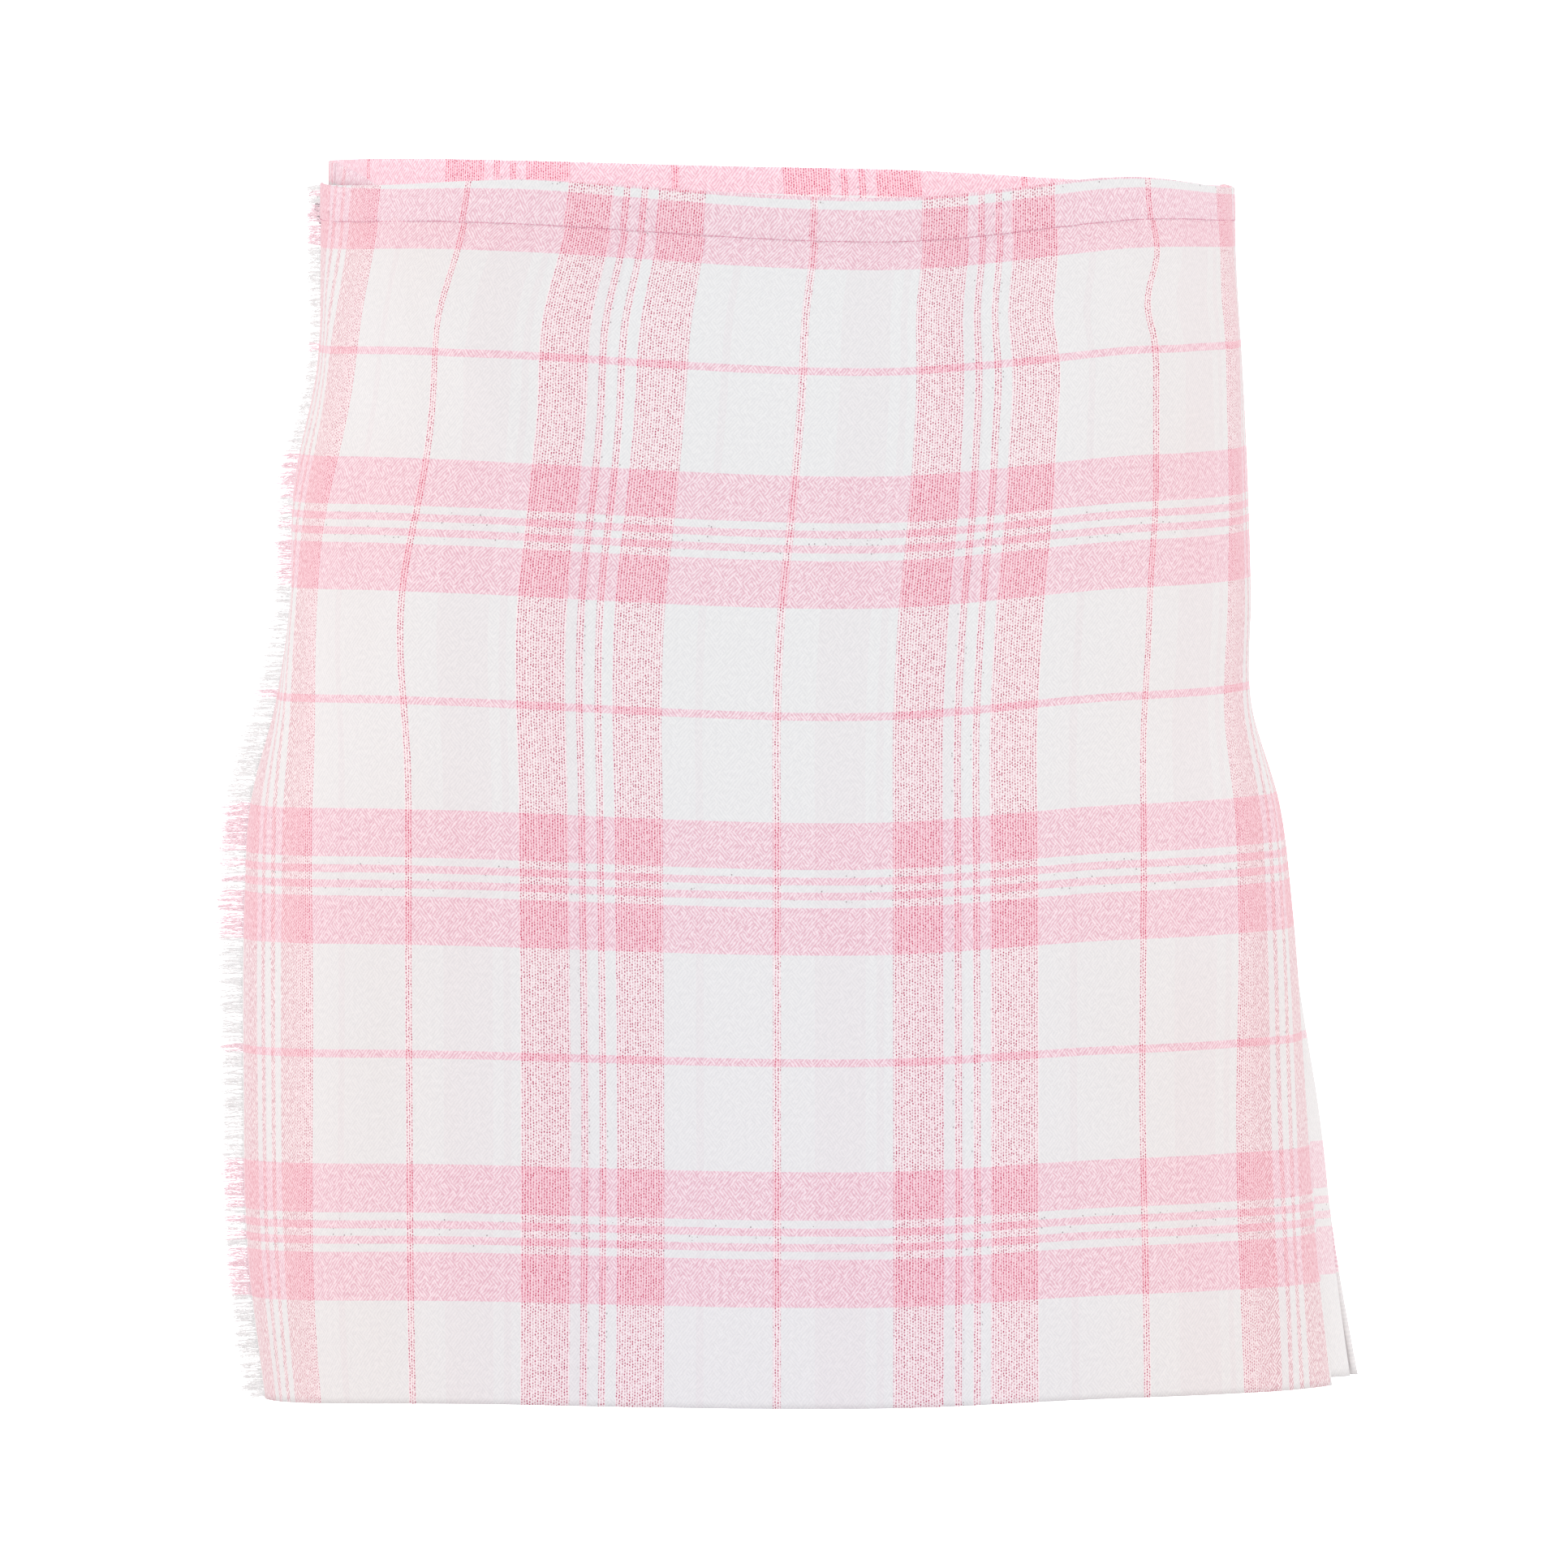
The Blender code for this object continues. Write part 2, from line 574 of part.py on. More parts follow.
def leather(name, z, path, thickness):
    levels = (z + STRAP_WIDTH / 2, z - STRAP_WIDTH / 2)
    return wall(name, [ring(z)] * 2, [finely(path)] * 2, lambda level, _: levels[level], thickness, "leather")


def buckle(name, z, bar):
    """A bent wire frame: straight inner and outer bars joined by rounded corners."""
    outline = []
    for quarter, (at_inner_bar, side) in enumerate(((True, 1), (False, 1), (False, -1), (True, -1))):
        centre_along = -BUCKLE_CORNER if at_inner_bar else BUCKLE_CORNER - BUCKLE_REACH
        centre_up = (BUCKLE_HALF_HEIGHT - BUCKLE_CORNER) * side
        for a in spread(math.pi / 2 * quarter, math.pi / 2 * (quarter + 1), BUCKLE_CORNER_STEPS):
            outline.append((centre_along + BUCKLE_CORNER * math.cos(a),
                            centre_up + BUCKLE_CORNER * math.sin(a)))
    curve = bpy.data.curves.new(name + "_buckle", "CURVE")
    curve.dimensions = "3D"
    curve.bevel_depth = WIRE
    curve.bevel_resolution = 1
    spline = curve.splines.new("POLY")
    spline.points.add(len(outline) - 1)
    spline.use_cyclic_u = True
    for point, (along, up) in zip(spline.points, outline):
        share = -along / BUCKLE_REACH
        depth = HEEL_DEPTH + (NOSE_DEPTH - HEEL_DEPTH) * share
        point.co = (*surface(bar + along, z + up, depth, ring(z)), 1.0)
    obj = bpy.data.objects.new(name + "_buckle", curve)
    curve.materials.append(material(name + "_buckle", "steel"))
    bpy.context.scene.collection.objects.link(obj)


def main():
    for obj in list(bpy.data.objects):
        bpy.data.objects.remove(obj)
    outer_apron()
    pleated_back()
    under_apron()
    waistbands()
    apron_fringe()
    strap_sets()


main()
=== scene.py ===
# %% [markdown]
# # A short wrap kilt in pink and white tartan
#
# This notebook dresses a packed, solid kilt in cloth that looks woven. The solid says how long,
# wide and deep every piece is. Each piece here is a thin shell on the same form, with finer folds,
# and its colours are worked out from how far across and how far down the cloth a point lies.
# %% Load the solid kilt
import math

import bmesh
import bpy
import numpy as np
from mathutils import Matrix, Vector


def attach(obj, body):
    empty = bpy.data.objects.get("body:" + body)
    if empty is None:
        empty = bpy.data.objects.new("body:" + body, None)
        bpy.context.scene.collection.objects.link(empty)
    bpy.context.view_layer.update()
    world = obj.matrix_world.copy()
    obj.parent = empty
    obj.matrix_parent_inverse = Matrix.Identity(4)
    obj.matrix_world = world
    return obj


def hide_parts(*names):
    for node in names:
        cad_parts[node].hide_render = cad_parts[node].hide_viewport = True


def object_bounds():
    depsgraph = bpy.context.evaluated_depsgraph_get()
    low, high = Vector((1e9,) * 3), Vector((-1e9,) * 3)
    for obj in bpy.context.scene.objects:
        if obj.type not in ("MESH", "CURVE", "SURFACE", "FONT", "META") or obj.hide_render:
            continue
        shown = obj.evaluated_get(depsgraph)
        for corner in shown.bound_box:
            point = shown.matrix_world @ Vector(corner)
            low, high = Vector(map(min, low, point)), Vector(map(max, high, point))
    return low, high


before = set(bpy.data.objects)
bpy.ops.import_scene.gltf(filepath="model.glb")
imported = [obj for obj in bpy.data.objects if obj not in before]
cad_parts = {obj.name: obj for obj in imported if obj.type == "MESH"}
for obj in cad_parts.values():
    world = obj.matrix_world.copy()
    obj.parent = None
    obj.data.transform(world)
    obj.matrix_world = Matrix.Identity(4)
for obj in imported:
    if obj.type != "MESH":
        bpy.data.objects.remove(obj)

MM = 0.001
solid_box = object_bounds()
print("solid kilt:", len(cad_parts), "nodes, size in mm",
      [round(float(high - low) / MM, 1) for low, high in zip(*solid_box)])

# %% [markdown]
# ## Camera, light and floor
#
# The kilt was shot from the front and a little from above, from far away with a long lens: its hem
# and its waist curve alike, which a near camera would not show. A camera with parallel lines of sight
# does the same. Its light comes evenly from all round, so the world gives most of it, and weak lamps at
# the front, the sides, behind and above only keep the folds readable. The world and the floor look
# white to the camera but light the cloth more gently, so that the folds keep their shade.
# %% Camera
PICTURE_WIDTH = 0.5989          # metres across the picture
CAMERA_DISTANCE = 3.0
CAMERA_RISE = math.radians(3.8)
CAMERA_TARGET = Vector((0.0028, 0.0, -0.2220))

scene = bpy.context.scene
camera_data = bpy.data.cameras.new("camera")
camera_data.type = "ORTHO"
camera_data.ortho_scale = PICTURE_WIDTH
camera = bpy.data.objects.new("camera", camera_data)
camera.location = CAMERA_TARGET + CAMERA_DISTANCE * Vector((0, -math.cos(CAMERA_RISE), math.sin(CAMERA_RISE)))
camera.rotation_euler = (math.pi / 2 - CAMERA_RISE, 0, 0)
scene.collection.objects.link(camera)
scene.camera = camera
scene.view_settings.view_transform = "Standard"
print("camera at", [round(value, 3) for value in camera.location])

# %% World and lamps
AMBIENT = 0.86
BACKDROP = 1.0


def rgb(red, green, blue):
    """A colour given as 0 to 255 display values, made linear."""
    return tuple((v / 12.92 if v <= 0.04045 else ((v + 0.055) / 1.055) ** 2.4)
                 for v in (red / 255, green / 255, blue / 255))


world = bpy.data.worlds.new("studio")
scene.world = world
world.use_nodes = True
sky = world.node_tree.nodes["Background"]
sky.inputs["Color"].default_value = (1, 1, 1, 1)


def seen_by_camera(tree, socket, elsewhere, seen):
    """A value that is one number for the camera and another for the light that bounces."""
    rays = tree.nodes.new("ShaderNodeLightPath")
    pick = tree.nodes.new("ShaderNodeMix")
    pick.inputs["A"].default_value = elsewhere
    pick.inputs["B"].default_value = seen
    tree.links.new(rays.outputs["Is Camera Ray"], pick.inputs["Factor"])
    tree.links.new(pick.outputs["Result"], socket)


seen_by_camera(world.node_tree, sky.inputs["Strength"], AMBIENT, BACKDROP)


def area_lamp(name, place, size, watts, colour, turn=None):
    """A round lamp that looks at the kilt, or one with sides and a turn of its own."""
    data = bpy.data.lights.new(name, "AREA")
    data.shape = "RECTANGLE" if turn else "DISK"
    data.size, data.size_y = size
    data.energy = watts
    data.color = colour
    lamp = bpy.data.objects.new(name, data)
    lamp.location = place
    lamp.rotation_euler = turn or (CAMERA_TARGET - Vector(place)).to_track_quat("-Z", "Y").to_euler()
    scene.collection.objects.link(lamp)
    return lamp


LAMP_COLUMNS = ("name", "place", "size", "watts", "colour")
LAMPS = (
    ("front", (0.2, -2.5, 0.3), (1.2, 1.2), 6.0, (1.0, 1.0, 1.0)),
    ("left", (-2.2, 0.35, 0.25), (0.8, 0.8), 8.5, (1.0, 0.985, 0.97)),
    ("right", (2.2, 0.3, 0.1), (0.8, 0.8), 5.0, (1.0, 0.99, 0.97)),
    ("behind", (0.6, 2.3, 1.2), (1.2, 1.2), 8.0, (1.0, 1.0, 1.0)),
    ("above", (0.1, -1.1, 2.3), (1.0, 1.0), 3.5, (1.0, 1.0, 1.0)),
)
TOWARDS_BACK = (math.pi / 2, 0, 0)
for row in LAMPS:
    area_lamp(**dict(zip(LAMP_COLUMNS, row)))
waist_lamp = area_lamp("light that fills the open waist", (0.0, -0.06, -0.015), (0.28, 0.03), 0.12,
                       (1.0, 0.97, 0.97), TOWARDS_BACK)
waist_lamp.visible_camera = False

# %% Floor
FLOOR_BELOW_HEM = 0.110
FLOOR_SIZE = 60.0
FLOOR_GREY = 0.86
FLOOR_ROUGHNESS = 0.9

floor_mesh = bpy.data.meshes.new("floor")
half = FLOOR_SIZE / 2
floor_mesh.from_pydata([(-half, -half, 0), (half, -half, 0), (half, half, 0), (-half, half, 0)], [],
                       [(0, 1, 2, 3)])
floor = bpy.data.objects.new("floor", floor_mesh)
floor.location.z = solid_box[0].z - FLOOR_BELOW_HEM
scene.collection.objects.link(floor)
floor_paint = bpy.data.materials.new("floor")
floor_paint.use_nodes = True
floor_shader = floor_paint.node_tree.nodes["Principled BSDF"]
floor_shader.inputs["Base Color"].default_value = (FLOOR_GREY, FLOOR_GREY, FLOOR_GREY, 1)
floor_shader.inputs["Roughness"].default_value = FLOOR_ROUGHNESS
floor_shader.inputs["Emission Color"].default_value = (1, 1, 1, 1)
seen_by_camera(floor_paint.node_tree, floor_shader.inputs["Emission Strength"], 0.0, BACKDROP)
floor_mesh.materials.append(floor_paint)
print("floor at", round(floor.location.z, 3))

# %% [markdown]
# ## The form that the cloth hangs on
#
# A worn kilt is a ring at every height: flatter at the front and rounder behind, nearly the size of
# the waist at the top and wider at the hem. The rows below are the kilt's own sections, the same as
# the solid's. Between them a smooth curve is drawn through the rows. A place on the cloth is then
# said as a tailor would: how far along the ring, how high, and how deep under the outer surface.
# Working all points of a panel out at once, as arrays, keeps this fast.
# %% Sizes of the kilt
BAND_TOP = 7.5 * MM
BAND_FOOT = -7.5 * MM
LENGTH = 462.0 * MM
HEM = BAND_TOP - LENGTH
CLOTH = 1.0 * MM
BAND_WALL = 1.4 * MM
SEAM = 0.3 * MM
LAYER = 1.35 * MM
LAYER_HEM = 1.8 * MM
OUTER_DEPTH = BAND_WALL / 2
INNER_DEPTH = OUTER_DEPTH + BAND_WALL + 1.0 * MM
HIP_DEPTH = 4.0 * MM
APRON_FRINGE = -252.5 * MM
APRON_FOLD = 249.5 * MM
TURN_UNDER = 45.0 * MM
UNDER_END = 198.0 * MM
SIDE_SEAM = 16.0 * MM

SECTION_COLUMNS = ("height", "half_right_hip", "half_left_hip", "front", "back", "drift", "ease")
SECTIONS = (
    (0.0080, 0.1745, 0.1750, 0.1040, 0.1110, 0.0155, 0.930),
    (-0.0190, 0.1745, 0.1758, 0.1045, 0.1130, 0.0143, 0.945),
    (-0.0620, 0.1755, 0.1785, 0.1090, 0.1170, 0.0102, 0.985),
    (-0.1100, 0.1845, 0.1805, 0.1110, 0.1210, 0.0060, 1.005),
    (-0.1500, 0.1860, 0.1815, 0.1120, 0.1250, 0.0018, 1.010),
    (-0.1900, 0.1915, 0.1815, 0.1130, 0.1290, 0.0000, 1.005),
    (-0.2300, 0.2015, 0.1925, 0.1150, 0.1320, 0.0000, 1.000),
    (-0.2700, 0.2040, 0.1975, 0.1170, 0.1350, 0.0000, 1.000),
    (-0.3300, 0.2045, 0.2025, 0.1190, 0.1380, 0.0000, 1.000),
    (-0.4000, 0.2030, 0.2090, 0.1230, 0.1410, 0.0000, 1.000),
    (-0.4600, 0.1955, 0.2185, 0.1280, 0.1430, 0.0000, 1.000),
)
print("kilt length", LENGTH / MM, "mm in", len(SECTIONS), "sections")


# %% A smooth curve through a table's rows
def smooth(rows, column, key):
    """One column of a table as a smooth curve, read at every value of the array key."""
    keys = np.array([row[0] for row in rows])
    values = np.array([row[column] for row in rows])
    if keys[0] > keys[-1]:
        keys, values = keys[::-1], values[::-1]
    slopes = np.gradient(values, keys)
    key = np.clip(np.asarray(key, float), keys[0], keys[-1])
    i = np.clip(np.searchsorted(keys, key, side="right") - 1, 0, len(keys) - 2)
    step = keys[i + 1] - keys[i]
    t = (key - keys[i]) / step
    return ((2 * t ** 3 - 3 * t ** 2 + 1) * values[i] + (t ** 3 - 2 * t ** 2 + t) * step * slopes[i]
            + (3 * t ** 2 - 2 * t ** 3) * values[i + 1] + (t ** 3 - t ** 2) * step * slopes[i + 1])


def ease_in_out(t):
    t = np.clip(t, 0.0, 1.0)
    return t * t * (3 - 2 * t)


def section(name, z):
    return smooth(SECTIONS, SECTION_COLUMNS.index(name), z)


print("half width at the hem on the left", round(float(section("half_left_hip", HEM)), 4))


# %% The ring at every height
class Form:
    """The outer surface as a table of rings, one every few millimetres of height."""

    TOP, FOOT, STEP = 0.030, -0.500, 0.002
    POINTS = 1440

    def __init__(self):
        self.heights = np.arange(self.TOP, self.FOOT, -self.STEP)
        angles = np.linspace(-math.pi, math.pi, self.POINTS * 2 + 1)
        shares = np.arange(self.POINTS) / self.POINTS
        rings = []
        for z in self.heights:
            half_width = np.where(angles > 0, section("half_left_hip", z), section("half_right_hip", z))
            half_depth = np.where(np.abs(angles) < math.pi / 2, section("front", z), section("back", z))
            x, y = half_width * np.sin(angles), -half_depth * np.cos(angles)
            along = np.concatenate([[0.0], np.cumsum(np.hypot(np.diff(x), np.diff(y)))])
            start = -along[self.POINTS]
            rings.append((start, along[-1], np.interp(shares * along[-1], along, x),
                          np.interp(shares * along[-1], along, y)))
        self.start, self.girth = (np.array([ring[k] for ring in rings]) for k in (0, 1))
        self.x, self.y = (np.stack([ring[k] for ring in rings]) for k in (2, 3))
        reach = self.girth[:, None] / self.POINTS * 2
        self.dx, self.dy = ((np.roll(axis, -1, 1) - np.roll(axis, 1, 1)) / reach for axis in (self.x, self.y))

    def girth_at(self, z):
        return np.interp(-z, -self.heights, self.girth)

    def points(self, along, z, depth):
        """Points this far along the ring, at this height and this deep under the outer surface."""
        row = np.clip((self.TOP - z) / self.STEP, 0, len(self.heights) - 1.001)
        upper = row.astype(int)
        down = row - upper
        found = []
        for table in (self.x, self.y, self.dx, self.dy):
            value = 0.0
            for ring, weight in ((upper, 1 - down), (upper + 1, down)):
                place = ((along - self.start[ring]) / self.girth[ring] % 1.0) * self.POINTS
                left = place.astype(int) % self.POINTS
                share = place - np.floor(place)
                value = value + weight * (table[ring, left] * (1 - share)
                                          + table[ring, (left + 1) % self.POINTS] * share)
            found.append(value)
        x, y, dx, dy = found
        scale = depth / np.hypot(dx, dy)
        return np.stack([x - dy * scale, y + dx * scale, z * np.ones_like(x)], -1)


form = Form()
print("girth at the waist", round(float(form.girth_at(0.0)), 4), "and at the hem",
      round(float(form.girth_at(HEM)), 4))


# %% Places on the ring
def place(cloth, z):
    """Distance along the ring of a place on the front's cloth."""
    return section("drift", z) + section("ease", z) * cloth


def fold(z):
    return place(APRON_FOLD, z)


def fringe_root(z):
    """The fringe's root, reached by going round the back from the fold."""
    return place(APRON_FRINGE, z) + form.girth_at(z)


SWELL_HEM = 5.0 * MM
SWELL_START = -0.16


def swell_share(z):
    return ease_in_out((SWELL_START - z) / (SWELL_START - HEM))


def layer_pitch(z):
    return LAYER + (LAYER_HEM - LAYER) * swell_share(z)


print("the back spans", round(float(fringe_root(HEM) - fold(HEM)), 3), "m at the hem")

# %% [markdown]
# ## Folds placed one by one
#
# Cloth that hangs from a waistband is never quite flat. Long soft ridges run down from the hips,
# short buckles lie under the band where the cloth is eased in, and one slanting crease crosses the
# wearer's right. Each is a row here: a soft bump with its own middle, tilt, width, length and
# height. The last table says where the cloth is pushed sideways, which makes a stripe waver.
# %% Folds of the front
# The columns: along, height, tilt in degrees, half width, half length, how far it stands out.
MAIN_FOLDS = (
    (-0.105, -0.075, 34.0, 0.016, 0.060, 0.0026),
    (0.110, -0.050, -18.0, 0.013, 0.034, 0.0024),
    (0.068, -0.055, 8.0, 0.012, 0.040, -0.0020),
    (0.165, -0.062, 6.0, 0.014, 0.050, 0.0022),
    (-0.185, -0.300, 3.0, 0.022, 0.120, 0.0024),
    (0.060, -0.380, -4.0, 0.026, 0.100, 0.0022),
    (-0.050, -0.400, 5.0, 0.024, 0.090, -0.0018),
    (0.190, -0.330, -6.0, 0.020, 0.110, -0.0020),
)
FINE_FOLDS = (
    (-0.118, -0.066, 30.0, 0.0050, 0.052, 0.0007),
    (-0.088, -0.088, 27.0, 0.0060, 0.040, -0.0006),
    (0.098, -0.030, -12.0, 0.0060, 0.016, 0.0010),
    (0.112, -0.046, -30.0, 0.0060, 0.018, -0.0009),
    (0.128, -0.034, 14.0, 0.0065, 0.020, 0.0010),
    (0.150, -0.022, 40.0, 0.0060, 0.016, -0.0010),
    (0.158, -0.040, 22.0, 0.0070, 0.022, 0.0012),
    (0.176, -0.054, -8.0, 0.0060, 0.030, -0.0008),
    (0.206, -0.046, 5.0, 0.0080, 0.034, 0.0012),
    (0.222, -0.100, -4.0, 0.0080, 0.050, -0.0010),
    (0.040, -0.040, 4.0, 0.0090, 0.022, 0.0005),
    (-0.020, -0.034, -3.0, 0.0100, 0.020, 0.0004),
    (-0.062, -0.036, 6.0, 0.0080, 0.022, 0.0005),
    (-0.150, -0.050, 10.0, 0.0070, 0.040, 0.0008),
    (-0.172, -0.110, 8.0, 0.0080, 0.060, -0.0009),
    (-0.200, -0.060, 4.0, 0.0070, 0.050, 0.0010),
    (-0.222, -0.150, 5.0, 0.0080, 0.080, 0.0012),
    (-0.208, -0.230, -3.0, 0.0080, 0.090, -0.0010),
    (-0.150, -0.360, 2.0, 0.0110, 0.080, -0.0009),
    (-0.100, -0.330, -2.0, 0.0130, 0.090, 0.0006),
    (-0.018, -0.420, -3.0, 0.0120, 0.060, 0.0007),
    (0.024, -0.300, 2.0, 0.0150, 0.120, 0.0004),
    (0.100, -0.410, 3.0, 0.0110, 0.060, -0.0009),
    (0.142, -0.300, -3.0, 0.0120, 0.100, 0.0008),
    (0.160, -0.190, 3.0, 0.0100, 0.080, -0.0006),
    (0.226, -0.280, 2.0, 0.0080, 0.110, 0.0012),
    (0.214, -0.410, -4.0, 0.0090, 0.060, 0.0013),
    (-0.120, -0.200, -4.0, 0.0140, 0.090, -0.0005),
    (0.070, -0.180, 5.0, 0.0160, 0.070, 0.0005),
)
# The columns: along, height, half width, half length, how far a stripe is pushed to the left hip.
SIDEWAYS = (
    (-0.110, -0.034, 0.065, 0.030, -0.0055),
    (0.050, -0.034, 0.090, 0.020, -0.0020),
    (-0.172, -0.150, 0.050, 0.048, -0.0064),
    (-0.215, -0.135, 0.035, 0.050, -0.0036),
    (-0.085, -0.350, 0.045, 0.170, 0.0031),
    (-0.187, -0.300, 0.018, 0.060, 0.0022),
    (-0.187, -0.440, 0.018, 0.050, -0.0020),
    (0.150, -0.175, 0.030, 0.045, 0.0030),
    (0.150, -0.330, 0.030, 0.060, -0.0016),
    (0.205, -0.185, 0.030, 0.075, 0.0044),
    (0.200, -0.280, 0.020, 0.060, 0.0036),
    (0.252, -0.370, 0.012, 0.120, -0.0030),
    (-0.205, -0.050, 0.035, 0.040, -0.0030),
    (0.155, -0.014, 0.030, 0.012, 0.0030),
    (0.158, -0.034, 0.030, 0.011, -0.0034),
    (0.110, -0.036, 0.022, 0.010, -0.0012),
    (0.110, -0.060, 0.030, 0.016, 0.0008),
    (0.150, -0.110, 0.040, 0.030, 0.0016),
    (-0.135, -0.060, 0.030, 0.030, -0.0010),
)
PUCKER_STAND = 0.16 * MM
PUCKER_WAVE = 1.9 * MM
PUCKER_DRIFT = (1.7, 13.0 * MM)         # the ripples lie closer and wider in turn,
PUCKER_SWELL = (0.6, 0.4, 21.0 * MM)    # and stand higher and lower in turn
PUCKER_REACH = 7.0 * MM


def soft_folds(rows, along, z):
    """How far these folds stand out of the surface at each point."""
    stand = np.zeros(np.broadcast(along, z).shape)
    for middle, height, tilt, half_width, half_length, depth in rows:
        across, down = along - middle, z - height
        turn = math.radians(tilt)
        u = (across * math.cos(turn) + down * math.sin(turn)) / half_width
        v = (down * math.cos(turn) - across * math.sin(turn)) / half_length
        stand += depth * np.exp(-u * u - v * v)
    return stand


def sideways(along, z):
    shift = np.zeros(np.broadcast(along, z).shape)
    for middle, height, half_width, half_length, amount in SIDEWAYS:
        shift += amount * np.exp(-((along - middle) / half_width) ** 2 - ((z - height) / half_length) ** 2)
    return shift


def pucker(along, z):
    """Short ripples under the band's seam, from easing the cloth in while it is sewn."""
    below = np.clip(BAND_FOOT - z, 0, None)
    drift, drift_wave = PUCKER_DRIFT
    least, swing, swell_wave = PUCKER_SWELL
    ripple = (np.sin(along / PUCKER_WAVE + drift * np.sin(along / drift_wave))
              * (least + swing * np.sin(along / swell_wave)))
    return PUCKER_STAND * ripple * np.exp(-below / PUCKER_REACH)


print("folds on the front:", len(MAIN_FOLDS) + len(FINE_FOLDS))

# %% [markdown]
# ## Shells and their measure of cloth
#
# Every panel is a grid of points with a thickness. The grid carries a UV map called cloth that holds
# metres of cloth: how far across from the front's middle stripe, and how far down from the top of
# the waistband. An unwrapped picture would have to be painted and would blur up close. With real
# distances in the UV map, stripes and threads can be worked out at any scale.
# %% Grid to mesh
pieces = {}


def new_piece(name, points, corners, sizes, cloth=None, smooth_sides=True):
    """A mesh from its points, the corners of all faces in a row, and how many corners each face has."""
    mesh = bpy.data.meshes.new(name)
    mesh.vertices.add(points.size // 3)
    mesh.vertices.foreach_set("co", points.reshape(-1).astype(np.float32))
    mesh.loops.add(len(corners))
    mesh.loops.foreach_set("vertex_index", corners.astype(np.int32))
    mesh.polygons.add(len(sizes))
    mesh.polygons.foreach_set("loop_start", np.concatenate([[0], np.cumsum(sizes)[:-1]]).astype(np.int32))
    mesh.update(calc_edges=True)
    if cloth is not None:
        layer = mesh.uv_layers.new(name="cloth")
        layer.uv.foreach_set("vector", cloth.reshape(-1, 2)[corners].astype(np.float32).reshape(-1))
    if smooth_sides:
        mesh.shade_smooth()
    mesh.validate()
    piece = bpy.data.objects.new(name, mesh)
    scene.collection.objects.link(piece)
    pieces[name] = piece
    print(name, "faces", len(sizes))
    return piece


def grid_piece(name, points, cloth, thickness=0.0, closed=False):
    """A shell through a grid of points, with its UV map in metres of cloth."""
    rows, columns = points.shape[:2]
    index = np.arange(rows * columns).reshape(rows, columns)
    right = np.roll(index, -1, 1) if closed else index[:, 1:]
    left = index if closed else index[:, :-1]
    faces = np.stack([left[:-1], left[1:], right[1:], right[:-1]], -1).reshape(-1, 4)
    piece = new_piece(name, points, faces.reshape(-1), np.full(len(faces), 4), cloth)
    if thickness:
        shell = piece.modifiers.new("thickness", "SOLIDIFY")
        shell.thickness = thickness
        shell.offset = 0.0
        shell.use_even_offset = True
    return piece


def cloth_area(points):
    """Area of one side of a grid of points."""
    a = points[1:, 1:] - points[:-1, :-1]
    b = points[:-1, 1:] - points[1:, :-1]
    return float(np.linalg.norm(np.cross(a, b), axis=-1).sum() / 2)


# %% [markdown]
# ## The outer apron
#
# The front panel starts at the fringed edge on the wearer's right and ends in a fold on the left,
# where a hand's width of cloth is turned under. The free edge hangs a few millimetres lower than the
# fold. The weft stripes also need a little slack: the cloth is not pulled equally tight all the
# way down, so a short table maps the height on the kilt to the distance down the cloth.
# %% Outer apron
FRINGE_SAG = 4.0 * MM
FRINGE_SAG_WIDTH = 160.0 * MM
APRON_ROWS = 161
APRON_COLUMNS = 236
FOLD_POINTS = 7
TURNED_COLUMNS = 16
APRON_WALL = 0.8 * MM           # the shells are a little thinner than the solids' walls
PLEAT_WALL = 0.7 * MM
SLACK = ((0.0015, -0.0013), (0.0648, 0.0648), (0.1297, 0.1309), (0.1969, 0.1971), (0.2626, 0.2632),
         (0.3295, 0.3294), (0.3965, 0.3956), (0.4620, 0.4592))


def cloth_down(z):
    """Distance down the cloth at a height on the kilt."""
    return smooth(SLACK, 1, BAND_TOP - z)


def sag(along, z):
    from_edge = along - place(APRON_FRINGE, z)
    return FRINGE_SAG * (1 - ease_in_out(from_edge / FRINGE_SAG_WIDTH))


LIFT_LOWEST = 30.0 * MM         # the front hangs lowest a little to the wearer's left of its middle
LIFT_REACH = (165.0 * MM, 112.0 * MM)   # to the right hip, to the left hip
LIFT_FADES_RIGHT = (150.0 * MM, 100.0 * MM, 0.6)         # from here, over this far, by this share
LIFT_FADES_LEFT = (140.0 * MM, 90.0 * MM, 0.95)
LIFT_FADES_LEFT_ABOVE = 50.0 * MM
LIFT_COLUMNS = ("down", "to_right_hip", "to_left_hip", "middle")
LIFTS = (
    (0.000, 0.0063, 0.0066, -0.0003),
    (0.015, 0.0060, 0.0062, -0.0007),
    (0.028, 0.0062, 0.0061, -0.0004),
    (0.065, 0.0056, 0.0060, 0.0000),
    (0.116, 0.0045, 0.0057, 0.0000),
    (0.197, 0.0042, 0.0056, 0.0004),
    (0.281, 0.0026, 0.0043, 0.0006),
    (0.330, 0.0019, 0.0034, 0.0009),
    (0.416, 0.0015, 0.0034, 0.0004),
    (0.462, 0.0006, 0.0024, 0.0016),
)


